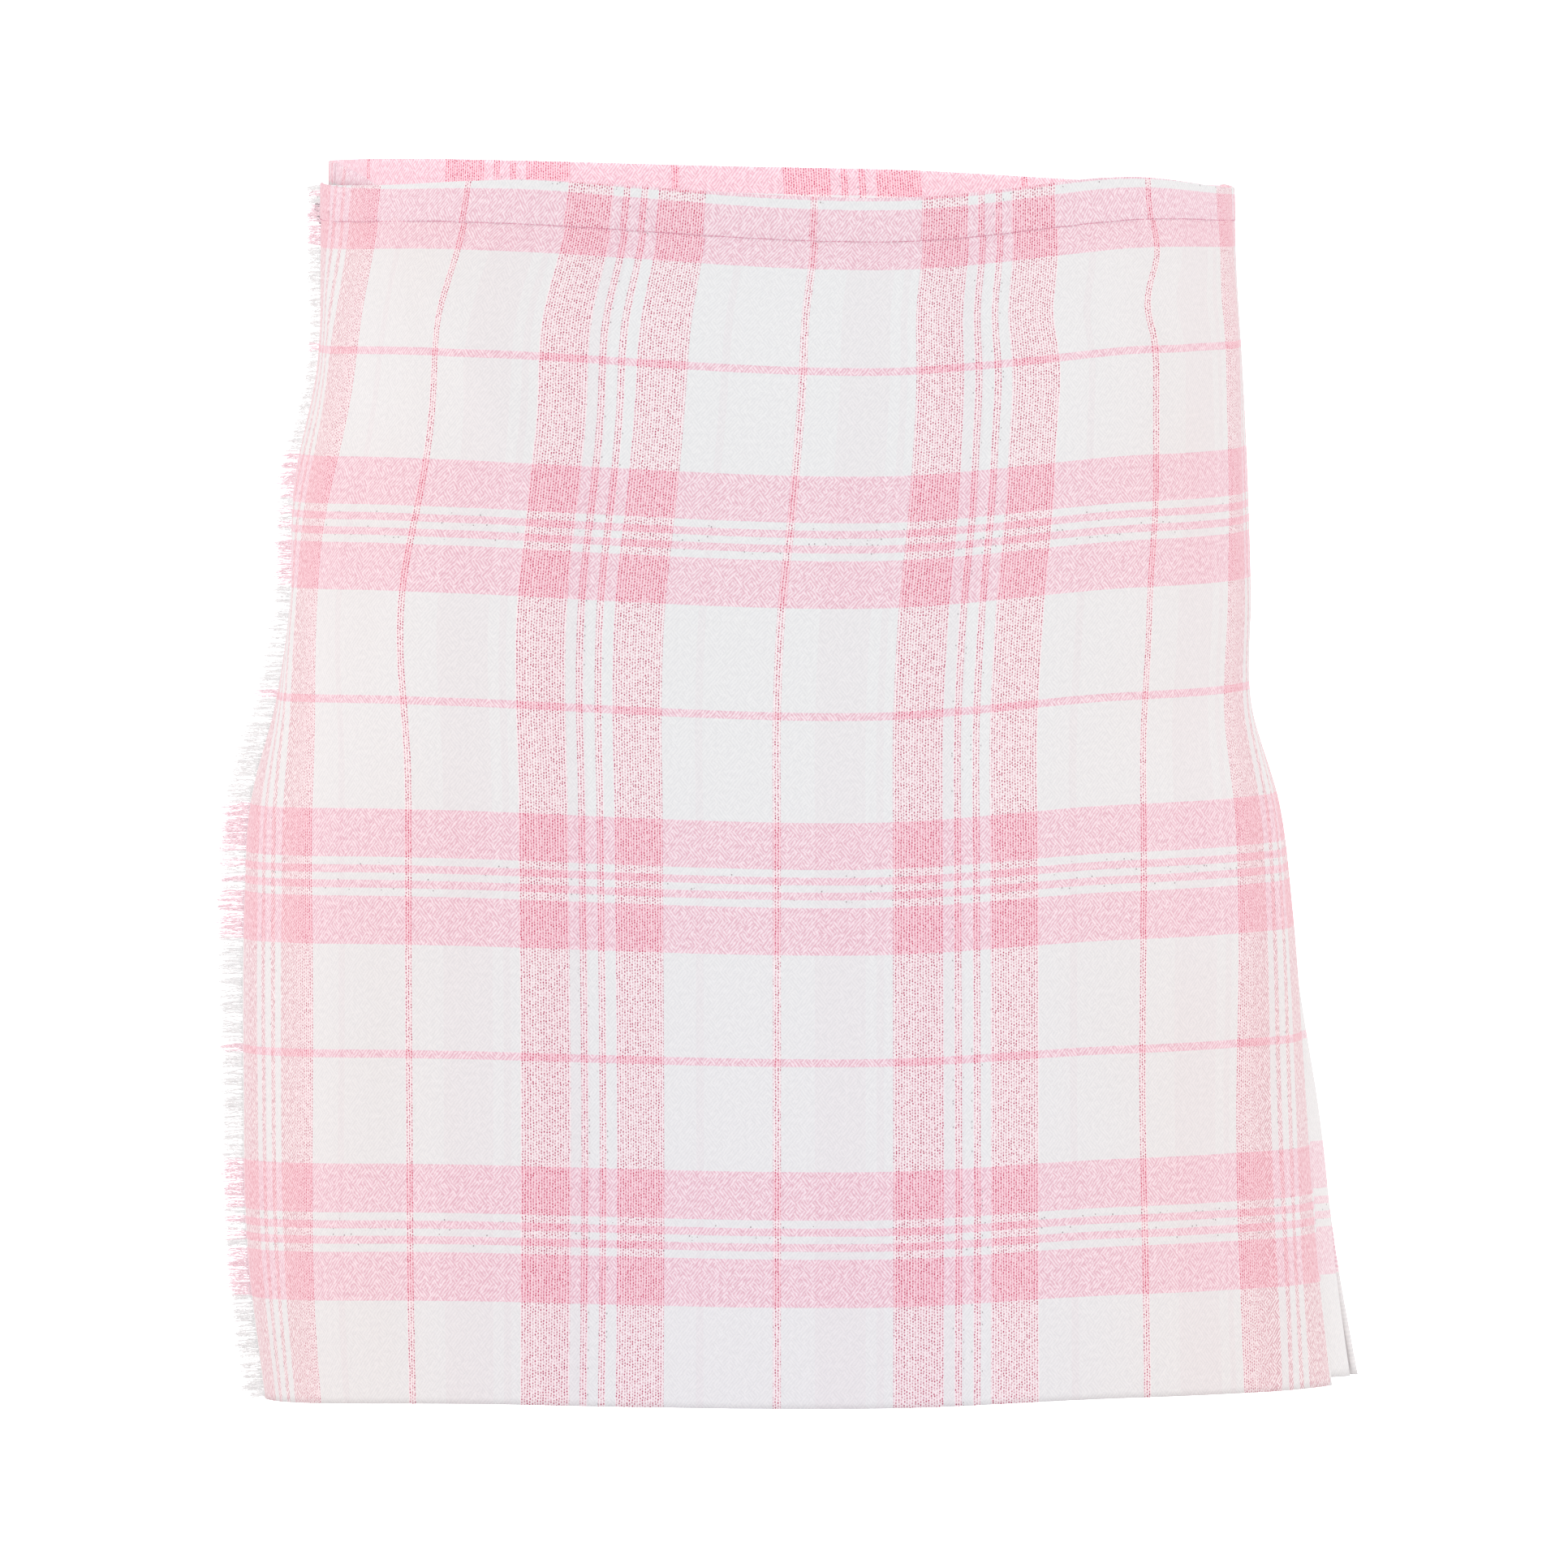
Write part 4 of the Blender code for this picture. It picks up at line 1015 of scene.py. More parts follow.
# %% [markdown]
# ## Node helpers
#
# The finishes are built from shader nodes. Two small helpers keep that readable: one makes a node
# group with named sockets, and one adds nodes and links whatever it is given, socket or number.
# %% Helpers for shader nodes
class Weaver:
    """Adds nodes to a tree and links them."""

    def __init__(self, tree):
        self.tree = tree

    def link(self, sockets, **values):
        """Links each value to the socket of its name."""
        for label, value in values.items():
            self.tree.links.new(value, sockets[label])

    def feed(self, node, inputs):
        """Links the inputs that are sockets, and sets those that are numbers or colours."""
        for key, value in inputs.items():
            if isinstance(value, bpy.types.NodeSocket):
                self.tree.links.new(value, node.inputs[key])
            else:
                node.inputs[key].default_value = (*value, 1.0) if isinstance(value, tuple) else value
        return node.outputs

    def add(self, kind, inputs=(), output=0, **settings):
        node = self.tree.nodes.new("ShaderNode" + kind)
        for key, value in settings.items():
            setattr(node, key, value)
        return self.feed(node, dict(inputs))[output]

    def math(self, operation, *values, clamp=False):
        return self.add("Math", dict(enumerate(values)), operation=operation, use_clamp=clamp)

    def plus(self, a, b, clamp=False):
        return self.math("ADD", a, b, clamp=clamp)

    def minus(self, a, b):
        return self.math("SUBTRACT", a, b)

    def times(self, a, b, clamp=False):
        return self.math("MULTIPLY", a, b, clamp=clamp)

    def flat(self, given):
        """The place on the cloth as a vector, for a noise."""
        return self.add("CombineXYZ", {"X": given["Across"], "Y": given["Down"]})

    def noise(self, where, scale):
        return self.add("TexNoise", {"Vector": where, "Scale": scale, "Detail": 1.0})

    def remap(self, value, low, high, to_low=0.0, to_high=1.0):
        return self.add("MapRange", {"Value": value, "From Min": low, "From Max": high, "To Min": to_low,
                                     "To Max": to_high})

    def step(self, value, edge, soft):
        """0 below the edge, 1 above it, with a soft change between."""
        return self.add("MapRange", {"Value": value, "From Min": edge - soft, "From Max": edge + soft},
                        interpolation_type="SMOOTHSTEP")

    def between(self, value, low, high, soft):
        return self.math("SUBTRACT", self.step(value, low, soft), self.step(value, high, soft))

    def mix(self, factor, a, b, blend="MIX"):
        """Mixes two colours, whose sockets have the numbers 6 and 7 and the result 2."""
        return self.add("Mix", {0: factor, 6: a, 7: b}, 2, data_type="RGBA", blend_type=blend)

    def group(self, tree, inputs):
        node = self.tree.nodes.new("ShaderNodeGroup")
        node.node_tree = tree
        return self.feed(node, inputs)


def new_group(name, inputs, outputs):
    """A node group: inputs is {name: default number}, outputs is {name: socket type}."""
    tree = bpy.data.node_groups.new(name, "ShaderNodeTree")
    for label, default in inputs.items():
        kind = "NodeSocketColor" if isinstance(default, tuple) else "NodeSocketFloat"
        socket = tree.interface.new_socket(label, in_out="INPUT", socket_type=kind)
        socket.default_value = (*default, 1.0) if isinstance(default, tuple) else default
    for label, kind in outputs.items():
        tree.interface.new_socket(label, in_out="OUTPUT", socket_type=kind)
    given, put = tree.nodes.new("NodeGroupInput").outputs, tree.nodes.new("NodeGroupOutput").inputs
    return tree, Weaver(tree), given, put


FLOAT, COLOUR = "NodeSocketFloat", "NodeSocketColor"

# %% [markdown]
# ## The tartan
#
# A tartan is one list of stripes, the sett, used both across (warp) and down (weft). It is mirrored
# at two pivots, so the distance to the nearest pivot is all that the pattern needs: the ping-pong
# function folds a distance back and forth between them. One pivot carries a single line. Round the
# other lie two thin lines and two broad stripes.
# %% Sett
SETT_ACROSS = 146.6 * MM
SETT_DOWN = 132.3 * MM
FIRST_LINE_DOWN = 64.8 * MM     # the first single weft line below the top of the band
WARP_STRIPES = {"line": 1.5 * MM, "thin": (2.3 * MM, 5.1 * MM), "broad": (9.3 * MM, 28.7 * MM)}
WEFT_STRIPES = {"line": 1.5 * MM, "thin": (1.4 * MM, 4.3 * MM), "broad": (7.3 * MM, 25.3 * MM)}
EDGE = 0.14 * MM
RAGGED = 0.35 * MM              # how far a stripe's edge strays
RAGS = 900.0                    # strays in a metre of cloth
SPECKS_REACH = 0.9 * MM         # a few dark threads show this far beside the thin stripes
SPECKS_IN_WARP = 0.75
SPECKS_IN_WEFT = 0.9

sett, n, given, put = new_group("tartan sett", {"Across": 0.0, "Down": 0.0},
                                {"Warp": FLOAT, "Weft": FLOAT, "Specks": FLOAT})


def stripes(distance, repeat, sizes):
    """Masks of all stripes and of the thin ones' edges, by distance from a single line."""
    from_line = n.math("PINGPONG", distance, repeat / 2)
    from_group = n.minus(repeat / 2, from_line)
    line = n.minus(1.0, n.step(from_line, sizes["line"], EDGE))
    thin = n.between(from_group, *sizes["thin"], EDGE)
    broad = n.between(from_group, *sizes["broad"], EDGE)
    beside = n.minus(n.between(from_group, sizes["thin"][0] - SPECKS_REACH,
                               sizes["thin"][1] + SPECKS_REACH, EDGE), thin)
    return n.math("MAXIMUM", line, n.math("MAXIMUM", thin, broad)), beside


ragged = n.times(n.minus(n.noise(n.flat(given), RAGS), 0.5), RAGGED)
warp_mask, beside_warp = stripes(n.plus(given["Across"], ragged), SETT_ACROSS, WARP_STRIPES)
weft_at = n.minus(n.plus(given["Down"], ragged), FIRST_LINE_DOWN)
weft_mask, beside_weft = stripes(weft_at, SETT_DOWN, WEFT_STRIPES)
specks_mask = n.math("MAXIMUM", n.times(beside_warp, SPECKS_IN_WARP), n.times(beside_weft, SPECKS_IN_WEFT))
n.link(put, Warp=warp_mask, Weft=weft_mask, Specks=specks_mask)
print("sett", SETT_ACROSS / MM, "x", SETT_DOWN / MM, "mm, nodes", len(sett.nodes))

# %% [markdown]
# ## The weave
#
# Close up, the weft's pink shows as fine slanting lines that turn back every few millimetres, and the
# warp's pink as columns of small dots, where a thread comes up between the white ones. Where the
# warp's threads lie close together, the dots join into streaks. Each is its own group, so that both
# can be used at any strength in colour and in relief.
# %% Slanting lines of the twill
LINE_PITCH = 1.08 * MM
LINE_SLOPE = math.radians(51)
LINE_STRENGTH = 0.42
PATCHES = 210.0                 # patches of one slant in a metre of cloth
PATCH_EDGE = (0.53, 0.02)       # the noise value where the slant turns, and how softly
BENDS = (500.0, 0.7)            # bends of the lines in a metre of cloth, and how far they go
FIBRES = (620.0, 1.7)           # uneven fibres in a metre of cloth, and how strongly they show

twill, n, given, put = new_group("twill lines", {"Across": 0.0, "Down": 0.0}, {"Lines": FLOAT})
where = n.flat(given)
bend = n.times(n.noise(where, BENDS[0]), BENDS[1])
along_across = n.times(given["Across"], math.sin(LINE_SLOPE) / LINE_PITCH)
along_down = n.math("MULTIPLY_ADD", given["Down"], math.cos(LINE_SLOPE) / LINE_PITCH, bend)
waves = [n.math("SINE", n.times(phase, 2 * math.pi))
         for phase in (n.plus(along_down, along_across), n.minus(along_down, along_across))]
wave = n.add("Mix", {"Factor": n.step(n.noise(where, PATCHES), *PATCH_EDGE), "A": waves[0], "B": waves[1]})
uneven = n.times(n.minus(n.noise(where, FIBRES[0]), 0.5), FIBRES[1])
lines = n.plus(n.math("MULTIPLY_ADD", wave, LINE_STRENGTH, 0.5), uneven, clamp=True)
n.link(put, Lines=lines)
print("twill lines", LINE_PITCH / MM, "mm apart")

# %% Dots of the raised warp
DOT_ACROSS = 1.05 * MM
DOT_DOWN = 1.10 * MM
DOT_STAGGER = (0.5, 0.35)       # every second column is set off by a half, and each by a random share
DOT_JITTER = (0.26, 0.42)       # across and down, in dots
DOT_FLATTER = 0.72              # makes a dot longer down the cloth
DOT_EDGE = (0.14, 0.36)         # from full to nothing, in dots from its middle
DOT_STRENGTH = (0.65, 0.42)     # the random share, and the least
STREAK_EDGE = (0.10, 0.46)
STREAK_STRENGTH = (0.6, 0.4)
ODD_ABOVE = 0.94                # the random value above which a dot is an odd dark thread
CLUMPS = 480.0                  # clumps of stronger and weaker dots in a metre of cloth
CLUMP_NOISE = (0.36, 0.64)      # the noise values of the weakest and the strongest
CLUMP_STRENGTH = (0.50, 1.50)

dots, n, given, put = new_group("warp dots", {"Across": 0.0, "Down": 0.0},
                                {"Dots": FLOAT, "Streaks": FLOAT, "Odd": FLOAT})
column_at = n.math("DIVIDE", given["Across"], DOT_ACROSS)
column_id = n.math("FLOOR", column_at)
column_random = n.add("TexWhiteNoise", {"W": column_id}, noise_dimensions="1D")
every_second = n.math("MODULO", column_id, 2.0)
stagger = n.plus(n.times(every_second, DOT_STAGGER[0]), n.times(column_random, DOT_STAGGER[1]))
row_at = n.plus(n.math("DIVIDE", given["Down"], DOT_DOWN), stagger)
cell = n.add("CombineXYZ", {"X": column_id, "Y": n.math("FLOOR", row_at)})
cell_random = n.add("TexWhiteNoise", {"Vector": cell}).node.outputs
dice = n.add("SeparateXYZ", {"Vector": cell_random["Color"]}).node.outputs
x_off, y_off = (n.plus(n.minus(n.math("FRACT", at), 0.5), n.times(n.minus(dice[axis], 0.5), jitter))
                for at, axis, jitter in ((column_at, "X", DOT_JITTER[0]), (row_at, "Y", DOT_JITTER[1])))
far = n.math("SQRT", n.plus(n.times(x_off, x_off), n.times(n.times(y_off, y_off), DOT_FLATTER)))
spot = n.minus(1.0, n.add("MapRange", {"Value": far, "From Min": DOT_EDGE[0], "From Max": DOT_EDGE[1]},
                          interpolation_type="SMOOTHSTEP"))
clumps = n.remap(n.noise(n.flat(given), CLUMPS), *CLUMP_NOISE, *CLUMP_STRENGTH)
strength = n.times(n.math("MULTIPLY_ADD", dice["Z"], *DOT_STRENGTH), clumps)
from_column = n.remap(n.math("ABSOLUTE", x_off), *STREAK_EDGE)
streak = n.times(n.minus(1.0, from_column), n.math("MULTIPLY_ADD", dice["X"], *STREAK_STRENGTH))
odd = n.times(n.math("GREATER_THAN", cell_random["Value"], ODD_ABOVE), spot)
n.link(put, Dots=n.times(spot, strength, clamp=True), Streaks=streak, Odd=odd)
print("dots", DOT_ACROSS / MM, "x", DOT_DOWN / MM, "mm apart")

# %% Cloth colour and relief
WHITE = rgb(243, 243, 244)
WHITE_SHADE = rgb(233, 233, 235)
WEFT_LIGHT = rgb(255, 236, 243)
WEFT_PINK = rgb(233, 188, 203)
WARP_GROUND = rgb(255, 246, 248)
WARP_STREAK = rgb(247, 220, 227)
WARP_DOT = rgb(188, 68, 106)
CROSS_GROUND = rgb(255, 224, 232)
CROSS_STREAK = rgb(242, 172, 192)
CROSS_DOT = rgb(206, 62, 104)
SPECK = rgb(120, 84, 98)
SPECK_STRENGTH = 0.8
SIDE_DOTS = (200.0 * MM, 12.0 * MM)     # here, where the cloth turns to the side, dots give way to lines
SIDE_LINES = (-1.5, 1.25)       # slope and offset, which sharpen the lines there
SIDE_PINK = 0.56
LINES_RELIEF = 0.5
DOTS_RELIEF = 0.6

weave, n, given, put = new_group("tartan weave", {"Across": 0.0, "Down": 0.0, "Warp Share": 1.0},
                                 {"Color": COLOUR, "Height": FLOAT})
at = {"Across": given["Across"], "Down": given["Down"]}
masks, lines, spots = n.group(sett, at), n.group(twill, at)["Lines"], n.group(dots, at)
warp = n.times(masks["Warp"], given["Warp Share"])
to_side = n.step(n.math("ABSOLUTE", given["Across"]), *SIDE_DOTS)
side_lines = n.times(n.math("MULTIPLY_ADD", lines, *SIDE_LINES, clamp=True), SIDE_PINK)
raised = n.add("Mix", {"Factor": to_side, "A": spots["Dots"], "B": side_lines})
streaks = n.times(spots["Streaks"], n.minus(1.0, to_side))
ground = n.mix(lines, WHITE_SHADE, WHITE)
weft_colour = n.mix(lines, WEFT_PINK, WEFT_LIGHT)
plain = n.mix(masks["Weft"], ground, weft_colour)
between_dots = n.mix(masks["Weft"], n.mix(streaks, WARP_GROUND, WARP_STREAK),
                     n.mix(streaks, CROSS_GROUND, CROSS_STREAK))
dot_colour = n.mix(masks["Weft"], WARP_DOT, CROSS_DOT)
striped = n.mix(raised, between_dots, dot_colour)
colour = n.mix(warp, plain, striped)
specks = n.times(n.times(spots["Odd"], masks["Specks"]), SPECK_STRENGTH)
colour = n.mix(specks, colour, SPECK)
relief = n.plus(n.times(lines, LINES_RELIEF), n.times(n.times(raised, warp), DOTS_RELIEF))
n.link(put, Color=colour, Height=relief)
print("weave nodes", len(weave.nodes))

# %% [markdown]
# ## Tone of the cloth, with painted light
#
# The white is tinted with painted light. Where the cloth turns to both sides it takes a faint warm
# tint of painted side light, uneven in clouds. Lower down in the middle it takes a painted cool shade.
# Where a striped layer lies behind it, a breath of that stripe's pink is painted on as show-through,
# standing in for light that passes through the cloth. One group tints any colour that way, with its
# own strengths, so every cloth and the fringe can share it.
# %% Tint group
# painted warm light, for the sides where the cloth turns towards the warm side lamps
PAINTED_WARM_LIGHT = rgb(255, 248, 246)
# painted cool shade, for the lower middle, away from the warm side lamps
PAINTED_COOL_SHADE = rgb(254, 252, 255)
# painted show-through pink, standing in for light that passes through from the layer behind
PAINTED_SHOW_THROUGH_PINK = rgb(250, 232, 238)
BEHIND_SHIFT = 30.0 * MM        # how far the hidden layer's stripes lie to the side
CLOUDS = 14.0                   # clouds that make the painted warm side light uneven, in a metre of cloth
WARM_LIGHT_SHARE = (0.8, 0.4)         # what the clouds add to the painted warm light, and the least
WARM_LIGHT_SIDES = (70.0 * MM, 160.0 * MM)    # painted warm light from here to there on both sides of the middle, and painted cool shade in the middle from here to there down the cloth
COOL_SHADE_DOWN = (200.0 * MM, 460.0 * MM)    # and cooler in the middle from here to there down the cloth

tone, n, given, put = new_group(
    "cloth tone with painted light", {"Color": (0.8, 0.8, 0.8), "Across": 0.0, "Down": 0.0, "Painted Light Tint": 0.5, "Painted Show Through": 0.0},
    {"Color": COLOUR})
clouds = n.noise(n.flat(given), CLOUDS)
to_side = n.remap(n.math("ABSOLUTE", given["Across"]), *WARM_LIGHT_SIDES)
# painted warm side light, made uneven by the clouds
painted_warm_amount = n.times(to_side, n.math("MULTIPLY_ADD", clouds, *WARM_LIGHT_SHARE), clamp=True)
# painted cool shade, low down in the middle
painted_cool_amount = n.times(n.remap(given["Down"], *COOL_SHADE_DOWN), n.minus(1.0, to_side))
# painted show-through: the stripes of the layer behind, tinting as light through the cloth would
show_through_masks = n.group(sett, {"Across": n.plus(given["Across"], BEHIND_SHIFT), "Down": given["Down"]})
made = given["Color"]
for amount, tint in ((n.times(painted_warm_amount, given["Painted Light Tint"]), PAINTED_WARM_LIGHT), (n.times(painted_cool_amount, given["Painted Light Tint"]), PAINTED_COOL_SHADE),
                     (n.times(show_through_masks["Warp"], given["Painted Show Through"]), PAINTED_SHOW_THROUGH_PINK)):
    made = n.mix(amount, made, tint, blend="MULTIPLY")
n.link(put, Color=made)
print("tone nodes", len(tone.nodes))


# %% Cloth materials
# painted light: the near white toward which pieces left too dark by shade are paled
PAINTED_LIGHT_WHITE = (0.97, 0.96, 0.955)
SHEEN_ROUGHNESS = 0.5
THREAD_RELIEF = 0.12 * MM


def new_material(name):
    made = bpy.data.materials.new(name)
    made.use_nodes = True
    return Weaver(made.node_tree), made, made.node_tree.nodes["Principled BSDF"].inputs


def cloth_material(name, warp_share=1.0, painted_light_tint=0.5, behind=0.0, relief=0.6, roughness=0.88, sheen=0.2,
                   painted_light_share=0.0, glow=0.0):
    """Wool twill in the tartan, read from the piece's cloth map.

    Loose threads pass light on to each other more often than a render follows it, which glow makes up.
    """
    n, made, shader = new_material(name)
    split = n.add("SeparateXYZ", {"Vector": n.add("UVMap", uv_map="cloth")}).node.outputs
    woven = n.group(weave, {"Across": split["X"], "Down": split["Y"], "Warp Share": warp_share})
    # the tone group paints warm side light, cool shade and show-through pink on the weave's colour
    toned = n.group(tone, {"Color": woven["Color"], "Across": split["X"], "Down": split["Y"],
                           "Painted Light Tint": painted_light_tint, "Painted Show Through": behind})
    # paling toward near white, which paints in light
    colour = n.mix(painted_light_share, toned["Color"], PAINTED_LIGHT_WHITE)
    n.tree.links.new(colour, shader["Base Color"])
    # painted glow: emission that stands in for the light the threads pass on to each other
    if glow:
        n.tree.links.new(colour, shader["Emission Color"])
        shader["Emission Strength"].default_value = glow
    bump = n.add("Bump", {"Height": woven["Height"], "Strength": relief, "Distance": THREAD_RELIEF})
    n.link(shader, Normal=bump)
    shader["Roughness"].default_value = roughness
    shader["Sheen Weight"].default_value = sheen
    shader["Sheen Roughness"].default_value = SHEEN_ROUGHNESS
    return made


# every cloth gets the painted warm side light and cool shade, and the apron also the painted show-through
# pink; the pleats and the fringe are paled as painted light, and the fringe has a painted glow
apron_wool = cloth_material("apron wool", painted_light_tint=0.95, behind=0.15)
pleat_wool = cloth_material("pleat wool", painted_light_tint=0.9, painted_light_share=0.15)
under_wool = cloth_material("under apron wool", painted_light_tint=0.8)
band_wool = cloth_material("waistband wool", painted_light_tint=0.4, relief=0.7)
loose_wool = cloth_material("loose weft wool", warp_share=0.0, painted_light_tint=0.5, relief=0.0, sheen=0.0, painted_light_share=0.25,
                            glow=0.17)
finishes = {apron: apron_wool, back: pleat_wool, under: under_wool, front_band: band_wool,
            back_band: band_wool, under_band: band_wool, fringe: loose_wool}
for piece, finish in finishes.items():
    piece.data.materials.append(finish)
print("cloth materials", len(set(finishes.values())))

# %% Thread
THREAD_DARK = rgb(212, 124, 156)
THREAD_LIGHT = rgb(238, 172, 196)
THREAD_FUZZ = 2400.0
THREAD_ROUGHNESS = 0.6

n, stitch_thread, shader = new_material("stitching thread")
fuzz = n.add("TexNoise", {"Scale": THREAD_FUZZ, "Detail": 2.0})
n.tree.links.new(n.mix(fuzz, THREAD_DARK, THREAD_LIGHT), shader["Base Color"])
shader["Roughness"].default_value = THREAD_ROUGHNESS
for piece in (front_stitches, back_stitches):
    piece.data.materials.append(stitch_thread)
print("thread made")

# %% [markdown]
# ## Straps and buckles
#
# Behind the fringe, two leather straps pull the wrap closed. A strap is a flat band with soft edges
# that follows the ring, so it is swept like the cloth: a small rounded outline is carried along a
# path of places along the ring and depths under the surface.
# %% Strap sizes
STRAP_HEIGHTS = {"waist": -4.0 * MM, "hip": -152.0 * MM}
STRAP_WIDTH = 13.0 * MM
LEATHER = 1.6 * MM
LEATHER_CORNER = 0.42           # radius of a long edge, as a share of the thickness
TIP_LENGTH = 0.55               # a round tip's length, as a share of the width
TIP_BLUNT = 0.02
PATH_STEP = 0.6 * MM
PATH_CUT = 0.22                 # how much of a stretch a rounded corner takes
PATH_ROUNDS = 3
WIRE = 1.0 * MM                 # radius
PRONG = 0.75 * MM               # radius
PRONG_TAPER = 0.35
PRONG_PAST = 1.4 * MM           # the prong's tip reaches past the buckle's outer bar
PRONG_POINTS = 14
WIRE_SIDES = 10
CORNER_POINTS = 8
HEEL_BEHIND_FRINGE = 35.0 * MM
BUCKLE_REACH = 15.0 * MM
BUCKLE_CORNER = 2.5 * MM
CLEAR = 0.60 * MM
BUCKLE_HALF_HEIGHT = STRAP_WIDTH / 2 + WIRE + CLEAR
STRAP_SEWN_END = 64.0 * MM
STRAP_LIFTS = 9.0 * MM
STRAP_LIFT = 0.8 * MM
STRAP_OVER = (-3.5 * MM, 4.0 * MM)
STRAP_TIP = 9.0 * MM
STRAP_DEPTH = OUTER_DEPTH - CLOTH / 2 - CLEAR - LEATHER / 2
NOSE_DEPTH = STRAP_DEPTH - LEATHER / 2 - CLEAR - WIRE
HEEL_DEPTH = -1.9 * MM
TAB_LEATHER = 1.0 * MM
TAB_DEPTH = 2.35 * MM
TAB_SEWN_END = 47.0 * MM
TAB_CLIMBS = (20.0 * MM, 9.0 * MM)
TAB_RETURN = 5.0 * MM
TAB_LOOP_POINTS = 7


def walk(points):
    """How far each point is from the start, along the line."""
    return np.concatenate([[0.0], np.cumsum(np.hypot(*np.diff(points, axis=0).T))])


def smooth_path(path):
    """A path of (along, depth) with its corners rounded, at even steps."""
    points = np.array(path, float)
    for _ in range(PATH_ROUNDS):
        a, b = points[:-1], points[1:]
        cut = np.stack([a * share + b * (1 - share) for share in (1 - PATH_CUT, PATH_CUT)], 1)
        points = np.concatenate([points[:1], cut.reshape(-1, 2), points[-1:]])
    walked = walk(points)
    even = np.linspace(0.0, walked[-1], int(walked[-1] / PATH_STEP) + 2)
    return np.stack([np.interp(even, walked, points[:, k]) for k in (0, 1)], -1)


def swept_leather(name, z, path, thickness, round_tip=False):
    """A leather band with rounded edges along a path. Its end can have a round tip."""
    path = smooth_path(path)
    ahead = np.gradient(path, axis=0)
    ahead /= np.linalg.norm(ahead, axis=1, keepdims=True)
    normal = np.stack([-ahead[:, 1], ahead[:, 0]], -1)
    walked = walk(path)
    half = np.full(len(path), STRAP_WIDTH / 2)
    if round_tip:
        short_of_round = (1 - (walked[-1] - walked) / (STRAP_WIDTH * TIP_LENGTH)).clip(0)
        half = np.minimum(half, STRAP_WIDTH / 2 * np.sqrt(np.clip(1 - short_of_round ** 2, TIP_BLUNT, 1)))
    corner = thickness * LEATHER_CORNER
    outline = []                # each is (out of the leather, upper or lower edge, height from the edge)
    for quarter, (side, up) in enumerate(((1, 1), (-1, 1), (-1, -1), (1, -1))):
        for a in math.pi / 2 * (quarter + np.arange(4) / 3):
            outline.append((side * (thickness / 2 - corner) + corner * math.cos(a), up, corner * math.sin(a)))
    out, up, lift = np.array(outline).T
    a, d = (path[:, k, None] + normal[:, k, None] * out for k in (0, 1))
    h = z + (up * (half[:, None] - corner) + lift)
    cloth = np.stack([np.broadcast_to(walked[:, None], a.shape), h], -1)
    piece = grid_piece(name, form.points(a, h, d), cloth, closed=True)
    mesh = bmesh.new()
    mesh.from_mesh(piece.data)
    mesh.verts.ensure_lookup_table()
    mesh.faces.new([mesh.verts[k] for k in range(len(outline))])
    mesh.faces.new([mesh.verts[-1 - k] for k in range(len(outline))])
    bmesh.ops.recalc_face_normals(mesh, faces=mesh.faces)
    mesh.to_mesh(piece.data)
    mesh.free()
    return piece


def sweep_wire(name, line, radius, closed=True):
    """A round wire along a line of points."""
    ahead = (np.roll(line, -1, 0) - np.roll(line, 1, 0)) if closed else np.gradient(line, axis=0)
    ahead /= np.linalg.norm(ahead, axis=1, keepdims=True)
    out = line.mean(0) * np.array([1.0, 1.0, 0.0])
    out /= np.linalg.norm(out)
    side = np.cross(ahead, out)
    side /= np.linalg.norm(side, axis=1, keepdims=True)
    lift = np.cross(side, ahead)
    angles = np.arange(WIRE_SIDES) * 2 * math.pi / WIRE_SIDES
    radius = np.broadcast_to(radius, len(line))
    ring = side[:, None] * np.cos(angles)[:, None] + lift[:, None] * np.sin(angles)[:, None]
    points = line[:, None] + ring * radius[:, None, None]
    if closed:
        points = np.concatenate([points, points[:1]])
    return grid_piece(name, points, np.zeros((*points.shape[:2], 2)), closed=True)


